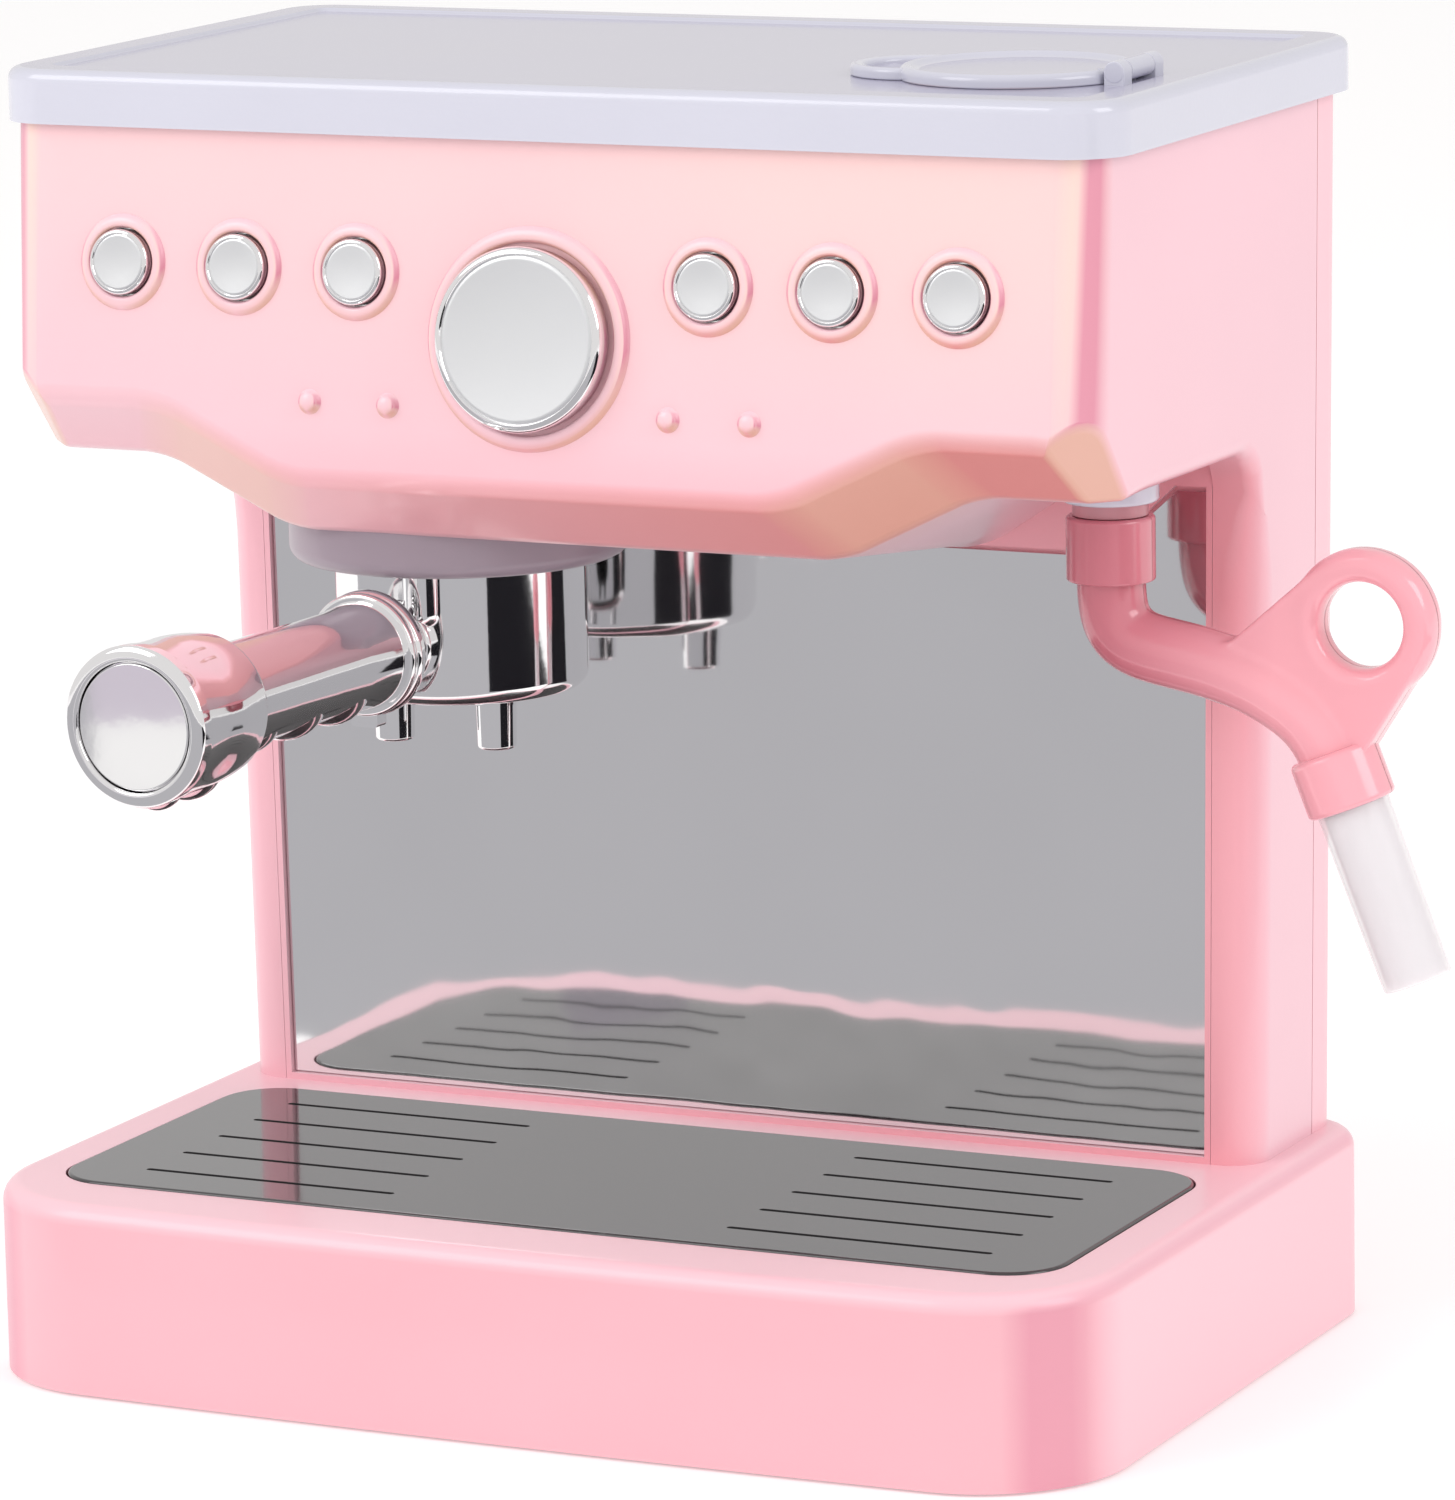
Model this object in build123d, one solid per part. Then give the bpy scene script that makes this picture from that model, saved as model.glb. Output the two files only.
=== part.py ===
"""Toy coffee maker: a play espresso machine, in millimetres.

The origin is on the table under the middle of the base. +X is the machine's right as its
user faces it, +Y runs to the back and +Z is up.
"""
import os
from math import atan, cos, degrees, radians, sin

from build123d import *

os.makedirs("parts", exist_ok=True)

# ---- base -------------------------------------------------------------------
base_width = 240.0
base_depth = 158.2
base_height = 38.8
base_bow = 2.4
base_front_corner = 28.0
base_back_corner = 12.0
base_top_round = 4.0
wall = 2.4
front = -base_depth / 2
back = base_depth / 2

# ---- drip plate and tray ----------------------------------------------------
plate_width = 216.0
plate_depth = 85.2
plate_thickness = 2.2
plate_proud = 0.4
plate_corner = 12.0
plate_gap = 0.4
plate_y = front + 16.8 + plate_depth / 2
slot_length = 55.8
slot_width = 1.5
slot_inner_end = 36.3
slot_pitch = 14.8
slots_each_side = 5
tray_flange = 1.6
tray_ledge = 5.0
tray_wall = 1.8
tray_depth = 20.0
tray_hole_width = plate_width - 2 * tray_ledge
tray_hole_depth = plate_depth - 2 * tray_ledge
ledge_depth = plate_thickness + tray_flange - plate_proud
tray_corner = plate_corner - tray_ledge

# ---- column, head and back --------------------------------------------------
head_half_width = 116.3
side_draft = 0.012
column_front = front + 110.4
rear_seam = front + 141.0
rear_face = front + 156.0
column_corner = 9.0
rear_corner = 8.0
side_lower_edge = 183.2
bevel_back = front + 38.0
panel_back = front + 44.0
seam_gap = 0.3

# ---- front panel ------------------------------------------------------------
button_height = 222.3
panel_slope = 0.115
panel_y_at_buttons = front + 27.3
panel_side_bottom = 195.2
panel_mid_bottom = 181.7
panel_knee_out = 80.5
panel_knee_in = 52.5
bevel_side_bottom = 183.0
bevel_mid_bottom = 169.2
bevel_knee_out = 87.5
bevel_knee_in = 59.0
knee_round = 11.0
panel_corner_round = 11.0
corner_facet_inset = 8.5
panel_wall = 2.4

# ---- push buttons -----------------------------------------------------------
button_places = (-88.9, -63.2, -37.5, 37.5, 63.2, 88.9)
button_radius = 6.4
button_hole_gap = 0.3
button_ring_radius = 9.3
button_ring_height = 1.3
button_proud = 2.4
button_travel = 1.2
button_flange_radius = 8.0
button_flange_thickness = 1.2
button_stem_radius = 2.4
button_stem_length = 8.0

# ---- dial -------------------------------------------------------------------
dial_height = button_height - 11.3
dial_radius = 17.8
dial_face_radius = 16.4
dial_ring_radius = 21.4
dial_ring_inner = 18.3
dial_ring_height = 1.8
dial_proud = 5.8
dial_shaft_radius = 3.0
running_gap = 0.06

# ---- indicator dots ---------------------------------------------------------
dot_places = (-46.9, -29.9, 29.9, 46.9)
dot_height = 197.1
dot_radius = 2.1

# ---- control board ----------------------------------------------------------
board_length = 200.0
board_margin = 6.0
board_thickness = 1.6
board_post_places = (-76.0, -50.0, 50.0, 76.0)
board_post_radius = 2.6
switch_size = 6.0
switch_body_height = 3.6
plunger_radius = 1.7
plunger_height = 1.0
plunger_gap = 0.3

# ---- top cover and hatch ----------------------------------------------------
lid_width = 238.0
lid_front = front + 28.0
lid_back = front + 159.5
lid_bottom = 248.6
lid_top = 259.2
lid_front_corner = 12.0
lid_back_corner = 11.0
lid_edge_round = 2.4
lid_wall = 2.2
lid_border = 9.0
lid_recess = 0.7
hatch_x = 82.0
hatch_y = front + 73.0
hatch_radius = 22.8
hatch_thickness = 2.4
hatch_lift = 0.3
hatch_tab_radius = 13.0
hatch_tab_offset = 21.0
hatch_tab_rim = 1.2
hatch_plug_depth = 2.6
hatch_hole_radius = 19.0
hatch_plug_gap = 0.7
hinge_pin_radius = 0.9
hinge_knuckle_radius = 2.1
hinge_knuckle_length = 11.0
hinge_ear_length = 4.0
hinge_ear_gap = 0.3
hinge_offset = 23.6
hinge_x = hatch_x + hinge_offset
hinge_z = lid_top - lid_recess + hatch_lift + hinge_knuckle_radius
hatch_bottom = lid_top - lid_recess + hatch_lift
ear_offset = hinge_knuckle_length / 2 + hinge_ear_gap + hinge_ear_length / 2

# ---- underside of the head --------------------------------------------------
pan_rear_side = 181.0
pan_rear_mid = 160.6
pan_rear_knee_in = 57.0
pan_rear_knee_out = 91.0
pan_flange = 5.0
pan_flange_thickness = 2.0

# ---- backsplash and mirror --------------------------------------------------
splash_half_width = head_half_width - 9.6
splash_recess = 1.3
mirror_half_width = splash_half_width - 1.5
mirror_thickness = 1.0
mirror_bottom = 40.4
mirror_mid_top = 159.6
mirror_side_top = 173.6
mirror_knee_in = 82.5
mirror_knee_out = 97.9
splash_groove = 1.2
splash_top = side_lower_edge + wall + 6.0
splash_flange = 1.8

# ---- group head and portafilter ---------------------------------------------
group_x = -40.0
group_y = front + 72.5
group_radius = 34.0
group_bottom = 160.2
group_top = 177.0
group_flange_radius = 38.5
group_flange_thickness = 2.4
group_lip_radius = 28.7
group_lip_thickness = 1.3
group_bore_radius = 30.6
group_bore_top = 168.4
group_edge_round = 3.0
lock_ring_gap = 0.3
cup_radius = 25.1
cup_gap = 0.4
cup_bottom = 133.3
cup_rim = 165.6
cup_wall = 1.9
cup_edge_round = 3.2
ear_radius = 3.9
ear_reach = 28.1
ear_turn = 12.6
ear_gap = 0.3
ear_bottom = 149.0
nozzle_radius = 3.2
nozzle_barb_radius = 1.6
nozzle_barb_length = 14.0
spout_radius = 4.1
spout_bore = 2.4
spout_bottom = 122.9
spout_half_spacing = 11.8
spout_forward = 7.5
handle_turn = 3.7
handle_height = cup_bottom + 12.6
neck_radius = 6.6
neck_flange_radius = 8.6
collar_start = 33.6
collar_length = 5.4
collar_radius = 12.4
grip_radius_inner = 9.9
grip_radius_outer = 10.7
grip_end = 93.0
cap_length = 26.8
cap_radius_inner = 13.6
cap_radius_outer = 15.5
end_mirror_radius = 12.1
end_mirror_thickness = 1.0
end_mirror_sunk = 0.5
bump_radius = 8.6
bump_pitch = 16.0
bump_proud = 1.9

# ---- steam wand -------------------------------------------------------------
wand_x = 94.4
wand_y = front + 86.0
sleeve_radius = 8.7
sleeve_top = 172.8
sleeve_length = 12.8
arm_radius = 6.9
wand_collar_radius = 9.5
wand_collar_height = 5.6
wand_ring_radius = 7.4
wand_ring_height = 2.4
wand_neck_radius = wand_collar_radius - 2.0
wand_collar_bottom = sleeve_top + wand_ring_height + 0.3
wand_collar_top = wand_collar_bottom + wand_collar_height + 0.1
wand_pivot_radius = 4.2
wand_pivot_depth = 9.0
loop_x = 146.8
loop_z = 154.4
loop_radius = 14.8
loop_hole_radius = 8.4
loop_half_thickness = 4.6
socket_top_x = 139.9
socket_top_z = 129.4
socket_radius = 8.8
socket_length = 11.4
tip_lean = 21.5
tip_radius = 7.2
tip_length = 36.0
tip_seat = 8.0

# ---- water, power and sound -------------------------------------------------
tank_width = 62.0
tank_depth = 52.0
tank_bottom = 196.0
tank_top = 238.0
tank_wall = 2.0
tank_shift_x = -8.0
tank_shift_y = 4.0
neck_wall = 2.0
pump_radius = 10.0
pump_length = 34.0
pump_offset = 58.0
barb_radius = 1.6
barb_length = 6.0
hose_radius = 2.6
cradle_length = 20.0
cradle_width = 16.0
lead_radius = 1.6
cell_radius = 7.2
cell_length = 50.0
cell_count = 3
cell_gap = 0.5
box_wall = 1.6
box_flange = 3.0
door_thickness = 2.0
door_tongue = 9.0
speaker_radius = 18.0
speaker_depth = 9.0
speaker_ring_wall = 1.8
speaker_ring_height = 4.0
speaker_z = 110.0
grille_pitch = 4.0
grille_count = 7
grille_width = 1.6
foot_radius = 7.0
foot_thickness = 1.6
foot_lift = 0.6
screw_radius = 1.4
screw_head_radius = 2.8
screw_head_height = 1.8
screw_length = 12.0
boss_radius = 3.8
post_x = 102.5
post_y = front + 126.0
post_height = 30.0
rear_screw_heights = (80.0, 225.0)
rear_boss_length = 14.0
rear_boss_depth = rear_face - rear_seam - seam_gap
rear_screw_seat = 8.0
bottom_thickness = 2.4
bottom_top = foot_lift + bottom_thickness
foot_places = [(x, y) for y in (front + 30.0, front + 140.0) for x in (-98.0, 98.0)] + [(0.0, 0.0)]
base_post_places = [(x, y) for y in (front + 8.4, front + 128.0) for x in (-84.0, 84.0)]
column_screw_places = [(-post_x, post_y), (post_x, post_y)]
rear_screw_places = [(x, z) for z in rear_screw_heights for x in (-post_x, post_x)]
cells_width = 2 * cell_radius * cell_count + cell_gap * (cell_count + 1)
box_length = cell_length + 4.0
box_height = 2 * cell_radius + 2 * cell_gap
box_x = 0.0
box_y = front + 129.0
box_bottom = bottom_top
door_length = box_length + door_tongue
door_width = cells_width
door_x = box_x + door_tongue / 2
door_bottom = box_bottom - seam_gap - door_thickness
door_screw_x = box_x + box_length / 2 + door_tongue / 2 + 0.5
lead_x = -56.0
lead_y = front + 134.0
pump_x = group_x + pump_offset
pump_z = group_top + 4.5
tank_x = hatch_x + tank_shift_x
tank_y = hatch_y + tank_shift_y
outlet_x = tank_x - tank_width / 2 + 8.0

housing_top = lid_top - lid_recess - lid_wall - seam_gap

BOTTOM = (Align.CENTER, Align.CENTER, Align.MIN)
along_y = Rot(90, 0, 0)
panel_lean = degrees(atan(panel_slope))


# ---- shared geometry --------------------------------------------------------
def rounded_block(width, depth, height, corner):
    """A block standing on XY with rounded vertical corners."""
    return extrude(RectangleRounded(width, depth, corner), height)


def half_width_at(z, half_width):
    """Half width of a drafted wall at height z; the walls draw in towards the table."""
    return half_width - side_draft * (housing_top - z)


def panel_y(z):
    """Depth of the leaning front panel at height z."""
    return panel_y_at_buttons + panel_slope * (z - button_height)


def panel_place(x, z):
    """Frame on the front panel with its Z axis pointing out of the panel."""
    out = (0, -cos(radians(panel_lean)), sin(radians(panel_lean)))
    return Plane(origin=(x, panel_y(z), z), x_dir=(1, 0, 0), z_dir=out)


def stepped_outline(half_top, top, half_low, side_z, knee_out, knee_in, mid_z):
    """Front view of the head: straight sides and a bottom edge that dips in the middle."""
    return [(-half_top, top), (-half_low, side_z), (-knee_out, side_z), (-knee_in, mid_z),
            (knee_in, mid_z), (knee_out, side_z), (half_low, side_z), (half_top, top)]


def outline_face(points, depth_at, knee):
    """Face through front-view points, each at the depth that depth_at gives for its height."""
    flat = make_face(Polyline([(x, depth_at(z), z) for x, z in points], close=True))
    places = points[2:6]
    return fillet([v for v in flat.vertices() if near_any(v, places)], knee)


def near_any(vertex, places):
    """True where a vertex lies on one of the front-view places."""
    return any(abs(vertex.X - x) + abs(vertex.Z - z) < 0.01 for x, z in places)


def screw(length):
    """Pan head screw with its head's underside at the origin, pointing up."""
    head = Pos(0, 0, -screw_head_height) * Cylinder(screw_head_radius, screw_head_height, align=BOTTOM)
    head = fillet(head.edges().sort_by(Axis.Z)[0], 0.8)
    recess = Pos(0, 0, -screw_head_height) * (Box(3.2, 0.8, 1.8) + Box(0.8, 3.2, 1.8))
    return head + Cylinder(screw_radius, length, align=BOTTOM) - recess


# ---- base -------------------------------------------------------------------
def base_outline(inset):
    """Plan of the base: a bowed front edge, wide front corners and tighter back corners."""
    half = base_width / 2 - inset
    near = front + inset
    far = back - inset
    sides = Polyline((-half, near), (-half, far), (half, far), (half, near))
    bow = ThreePointArc((half, near), (0, near - base_bow), (-half, near))
    plan = make_face(sides.edges() + bow.edges())
    plan = fillet(plan.vertices().group_by(Axis.Y)[0], base_front_corner - inset)
    return fillet(plan.vertices().group_by(Axis.Y)[-1], base_back_corner - inset)


def make_base_shell():
    shell = Pos(0, 0, foot_lift) * extrude(base_outline(0), base_height - foot_lift)
    shell = fillet(shell.edges().group_by(Axis.Z)[-1], base_top_round)
    shell -= extrude(base_outline(wall), base_height - wall)
    rim = plate_gap + wall
    rim_bottom = base_height - ledge_depth - wall
    rim_block = rounded_block(plate_width + 2 * rim, plate_depth + 2 * rim, ledge_depth + wall - 0.5,
                              plate_corner + rim)
    shell += Pos(0, plate_y, rim_bottom) * rim_block
    recess = rounded_block(plate_width + 2 * plate_gap, plate_depth + 2 * plate_gap, ledge_depth + 1,
                           plate_corner + plate_gap)
    shell -= Pos(0, plate_y, base_height - ledge_depth) * recess
    hole = rounded_block(tray_hole_width, tray_hole_depth, base_height, tray_corner)
    shell -= Pos(0, plate_y, 0) * hole
    for x, y in base_post_places:
        post = Cylinder(boss_radius, base_height - 1 - bottom_top - seam_gap, align=BOTTOM)
        shell += Pos(x, y, bottom_top + seam_gap) * post
        shell -= Pos(x, y, 0) * Cylinder(screw_radius + 0.1, bottom_top + screw_length, align=BOTTOM)
    for x, y in column_screw_places:
        shell -= Pos(x, y, 0) * Cylinder(screw_radius + 0.1, base_height * 2, align=BOTTOM)
    shell -= Pos(lead_x, lead_y, 0) * Cylinder(lead_radius + 1.0, base_height * 2, align=BOTTOM)
    return shell


def make_base_bottom():
    plate = Pos(0, 0, foot_lift) * extrude(base_outline(wall + seam_gap), bottom_thickness)
    gap = 2 * seam_gap
    plate -= Pos(door_x, box_y, 0) * Box(door_length + gap, door_width + gap, bottom_top * 3)
    for x, y in base_post_places:
        plate -= Pos(x, y, 0) * Cylinder(screw_radius + 0.1, bottom_top, align=BOTTOM)
        plate -= Pos(x, y, 0) * Cylinder(screw_head_radius + 0.2, foot_lift + screw_head_height, align=BOTTOM)
    for x, y in foot_places:
        plate -= Pos(x, y, 0) * Cylinder(foot_radius + 0.1, foot_thickness, align=BOTTOM)
    return plate


def make_foot_pads():
    pad = Cylinder(foot_radius, foot_thickness, align=BOTTOM)
    pad = chamfer(pad.edges().sort_by(Axis.Z)[0], 0.3)
    return Compound([Pos(x, y, 0) * pad for x, y in foot_places])


def make_base_screws():
    seat = foot_lift + screw_head_height
    return Compound([Pos(x, y, seat) * screw(screw_length) for x, y in base_post_places])


def make_column_screws():
    seat = base_height - wall
    return Compound([Pos(x, y, seat) * screw(screw_length) for x, y in column_screw_places])


# ---- drip plate and tray ----------------------------------------------------
def make_drip_plate():
    plate = rounded_block(plate_width, plate_depth, plate_thickness, plate_corner)
    plate = fillet(plate.edges().group_by(Axis.Z)[-1], 0.7)
    slot = extrude(SlotOverall(slot_length, slot_width), plate_thickness * 3, both=True)
    first = -slot_pitch * (slots_each_side - 1) / 2
    for side in (-1, 1):
        for row in range(slots_each_side):
            x = side * (slot_inner_end + slot_length / 2)
            plate -= Pos(x, first + row * slot_pitch, 0) * slot
    return Pos(0, plate_y, base_height + plate_proud - plate_thickness) * plate


def make_drip_tray():
    flange_bottom = base_height - ledge_depth
    gap = plate_gap
    tray = rounded_block(plate_width, plate_depth, tray_flange, plate_corner)
    tub = rounded_block(tray_hole_width - 2 * gap, tray_hole_depth - 2 * gap, tray_depth, tray_corner - gap)
    tub = fillet(tub.edges().group_by(Axis.Z)[0], 2.0)
    inner = rounded_block(tray_hole_width - 2 * (gap + tray_wall), tray_hole_depth - 2 * (gap + tray_wall),
                          tray_depth + tray_flange, tray_corner - gap - tray_wall)
    tray += Pos(0, 0, -tray_depth) * tub
    tray -= Pos(0, 0, tray_wall - tray_depth) * inner
    return Pos(0, plate_y, flange_bottom) * tray


# ---- column and head --------------------------------------------------------
def side_view_block(inset):
    """Solid of column and head together, drawn in from the outer skin by inset."""
    low = base_height if inset == 0 else base_height - 1
    top = housing_top if inset == 0 else housing_top + 1
    near = panel_back if inset == 0 else panel_back - 1
    far = rear_face - inset
    side = make_face(Polyline((0, column_front + inset, low), (0, column_front + inset, side_lower_edge + inset),
                              (0, near, side_lower_edge + inset), (0, near, top), (0, far, top),
                              (0, far, low), close=True))
    block = extrude(side, base_width, both=True)
    drafted = make_face(Polyline((-half_width_at(low, head_half_width) + inset, 0, low),
                                 (half_width_at(low, head_half_width) - inset, 0, low),
                                 (half_width_at(top, head_half_width) - inset, 0, top),
                                 (-half_width_at(top, head_half_width) + inset, 0, top), close=True))
    block &= extrude(drafted, base_depth, both=True)
    uprights = block.edges().filter_by(lambda e: abs(e.tangent_at(0.5).Z) > 0.9)
    rear = uprights.group_by(Axis.Y)[-1]
    block = fillet(rear, rear_corner - inset)
    uprights = block.edges().filter_by(lambda e: abs(e.tangent_at(0.5).Z) > 0.9)
    inner_corner = [e for e in uprights if abs(e.center().Y - column_front - inset) < 0.1]
    return fillet(inner_corner, column_corner - inset)


def between(x_low, x_high, y_low, y_high, z_low, z_high):
    """Box from its two opposite corners."""
    size = Box(x_high - x_low, y_high - y_low, z_high - z_low, align=(Align.MIN,) * 3)
    return Pos(x_low, y_low, z_low) * size


housing_outer = side_view_block(0)
housing_inner = side_view_block(wall)
housing_skin = housing_outer - housing_inner
splash_edge = splash_half_width + seam_gap / 2


def drafted_wedge(inner_half, side):
    """Everything to one side of a drafted plane at inner_half."""
    low = -50.0
    high = 300.0
    far = base_width
    near_low = half_width_at(low, inner_half)
    near_high = half_width_at(high, inner_half)
    points = [(near_low, low), (far, low), (far, high), (near_high, high)]
    flat = make_face(Polyline([(side * x, 0, z) for x, z in points], close=True))
    return extrude(flat, base_width, both=True)


def make_side_shell(side):
    shell = housing_skin & drafted_wedge(splash_edge, side)
    shell &= between(-base_width, base_width, front, rear_seam, 0, 300)
    rib_width = head_half_width - wall - post_x
    rib_x = side * (post_x + rib_width / 2)
    post = Pos(side * post_x, post_y, base_height) * Cylinder(boss_radius, post_height, align=BOTTOM)
    rib = Pos(rib_x, post_y, base_height) * Box(rib_width, 2.0, post_height, align=BOTTOM)
    shell += post + (rib & housing_outer)
    shell -= Pos(side * post_x, post_y, base_height) * Cylinder(screw_radius + 0.1, screw_length, align=BOTTOM)
    for z in rear_screw_heights:
        boss = Pos(side * post_x, rear_seam, z) * along_y * Cylinder(boss_radius, rear_boss_length, align=BOTTOM)
        rib = Pos(rib_x, rear_seam - rear_boss_length / 2, z) * Box(rib_width, rear_boss_length, 2.0)
        shell += boss + (rib & housing_outer)
        bore = Cylinder(screw_radius + 0.1, rear_boss_length - 1, align=BOTTOM)
        shell -= Pos(side * post_x, rear_seam + 0.01, z) * along_y * bore
    return shell.solid()


def make_rear_cover():
    cover = housing_skin & between(-base_width, base_width, rear_seam + seam_gap, rear_face + 1, 0, 300)
    grille_slot = Box(2 * speaker_radius * 0.8, wall * 4, grille_width)
    for row in range(grille_count):
        z = speaker_z + (row - (grille_count - 1) / 2) * grille_pitch
        cover -= Pos(0, rear_face, z) * grille_slot
    for x, z in rear_screw_places:
        cover += Pos(x, rear_face - 1, z) * along_y * Cylinder(boss_radius, rear_boss_depth - 1, align=BOTTOM)
        bore = Cylinder(screw_radius + 0.1, 20.0, align=BOTTOM)
        sink = Cylinder(screw_head_radius + 0.2, rear_screw_seat, align=BOTTOM)
        cover -= Pos(x, rear_face, z) * along_y * (bore + sink)
    ring = Cylinder(speaker_radius + seam_gap + speaker_ring_wall, speaker_ring_height + 1, align=BOTTOM)
    ring -= Cylinder(speaker_radius + seam_gap, 30)
    cover += Pos(0, rear_face - wall + 1, speaker_z) * along_y * ring
    return cover.solid()


def make_rear_screws():
    one = along_y * screw(screw_length)
    return Compound([Pos(x, rear_face - rear_screw_seat, z) * one for x, z in rear_screw_places])


# ---- backsplash and mirror --------------------------------------------------
def splash_block(half, bottom, side_top, mid_top, knee_in, knee_out, near, thickness):
    """Plate behind the drip tray, drafted at its sides and stepped along its top."""
    low = half_width_at(bottom, half)
    high = half_width_at(side_top, half)
    points = [(-low, bottom), (low, bottom), (high, side_top), (knee_out, side_top), (knee_in, mid_top),
              (-knee_in, mid_top), (-knee_out, side_top), (-high, side_top)]
    flat = make_face(Polyline([(x, near, z) for x, z in points], close=True))
    return extrude(flat, thickness, dir=(0, 1, 0))


def make_backsplash():
    low = half_width_at(base_height, splash_half_width)
    high = half_width_at(splash_top, splash_half_width)
    flat = make_face(Polyline((-low, column_front, base_height), (low, column_front, base_height),
                              (high, column_front, splash_top), (-high, column_front, splash_top), close=True))
    panel = extrude(flat, wall + splash_recess, dir=(0, 1, 0))
    flange_depth = splash_recess
    for side in (-1, 1):
        edge = low - 2.0
        panel += between(*sorted((side * edge, side * (low + splash_flange))), column_front + wall + seam_gap,
                         column_front + wall + flange_depth, base_height, side_lower_edge - 10)
    panel -= splash_block(mirror_half_width + 0.25, mirror_bottom - 0.25, mirror_side_top + splash_groove,
                          mirror_mid_top + splash_groove, mirror_knee_in, mirror_knee_out,
                          column_front - 1, splash_recess + mirror_thickness + 1)
    return panel


def make_mirror():
    return splash_block(mirror_half_width, mirror_bottom, mirror_side_top, mirror_mid_top, mirror_knee_in,
                        mirror_knee_out, column_front + splash_recess, mirror_thickness)


# ---- underside of the head --------------------------------------------------
pan_rear = column_front - seam_gap
pan_half = half_width_at(side_lower_edge, splash_half_width) - seam_gap


def belly_value(y, at_bevel, at_rear):
    """Value at depth y of a measure that runs straight from the bevel to the rear of the head."""
    share = (y - bevel_back) / (pan_rear - bevel_back)
    return at_bevel + share * (at_rear - at_bevel)


def belly_section(y, half, top, lift):
    """Cross-section of the head's underside at depth y, raised by lift."""
    side_z = belly_value(y, bevel_side_bottom, pan_rear_side) + lift
    mid_z = belly_value(y, bevel_mid_bottom, pan_rear_mid) + lift
    knee_out = belly_value(y, bevel_knee_out, pan_rear_knee_out)
    knee_in = belly_value(y, bevel_knee_in, pan_rear_knee_in)
    points = stepped_outline(half, top, half, side_z, knee_out, knee_in, mid_z)
    return outline_face(points, lambda z: y, knee_round)


pan_top = side_lower_edge + 30.0


def pan_block(lift):
    """Solid above the underside, between the front panel and the backsplash."""
    near = belly_section(panel_back + seam_gap, pan_half, pan_top, lift)
    far = belly_section(pan_rear, pan_half, pan_top, lift)
    return loft([near, far], ruled=True)


pan_hollow = pan_block(wall + seam_gap)
pan_hollow &= between(-base_width, base_width, front, pan_rear - wall - seam_gap, 0, 300)
pan_flange_z = side_lower_edge + wall + 0.1


def make_head_underside():
    outer = pan_block(0)
    skin = outer - pan_block(wall)
    ledge = pan_flange_z + pan_flange_thickness
    rear_wall = between(-pan_half, pan_half, pan_rear - wall, pan_rear, 0, 300)
    skin += outer & rear_wall
    skin &= between(-base_width, base_width, front, back, 0, ledge)
    for side in (-1, 1):
        span = sorted((side * (pan_half - 3.0), side * (pan_half + pan_flange)))
        skin += between(*span, panel_back + 2.0, pan_rear - 2.0, pan_flange_z, ledge)
    seat_top = group_top - group_flange_thickness - 0.05
    seat = Pos(group_x, group_y, 0) * Cylinder(group_flange_radius, seat_top, align=BOTTOM)
    cradle = Pos(pump_x, group_y, 0) * Box(cradle_length, cradle_width, pump_z - pump_radius / 2, align=BOTTOM)
    skin += (seat + cradle) & outer
    skin -= Pos(pump_x, group_y, pump_z) * Rot(0, 90, 0) * Cylinder(pump_radius + 0.1, 3 * pump_length)
    skin -= Pos(group_x, group_y, 0) * Cylinder(group_radius + seam_gap, 300, align=BOTTOM)
    boss = Pos(wand_x, wand_y, wand_collar_top) * Cylinder(wand_collar_radius + wall, wall, align=BOTTOM)
    skin += boss & outer
    skin -= Pos(wand_x, wand_y, 0) * Cylinder(wand_collar_radius + seam_gap, wand_collar_top, align=BOTTOM)
    skin -= Pos(wand_x, wand_y, 0) * Cylinder(wand_neck_radius + seam_gap, 300, align=BOTTOM)
    return skin.solid()


# ---- front panel ------------------------------------------------------------
def plan_section(z, inset):
    """Plan of the head's front at height z: a leaning front edge with rounded corners."""
    half = half_width_at(z, head_half_width) - inset
    near = panel_y(z) + inset
    far = panel_back if inset == 0 else panel_back + 1
    flat = make_face(Polyline((-half, far, z), (-half, near, z), (half, near, z), (half, far, z), close=True))
    return fillet(flat.vertices().group_by(Axis.Y)[0], panel_corner_round - inset)


def corner_facet(side):
    """Plane of the bevel where it turns round a lower corner of the panel."""
    out = (side * 0.663, -0.574, -0.482)
    x = side * (half_width_at(panel_side_bottom, head_half_width) - corner_facet_inset)
    return Plane(origin=(x, panel_y(panel_side_bottom), panel_side_bottom), z_dir=out)


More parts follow.
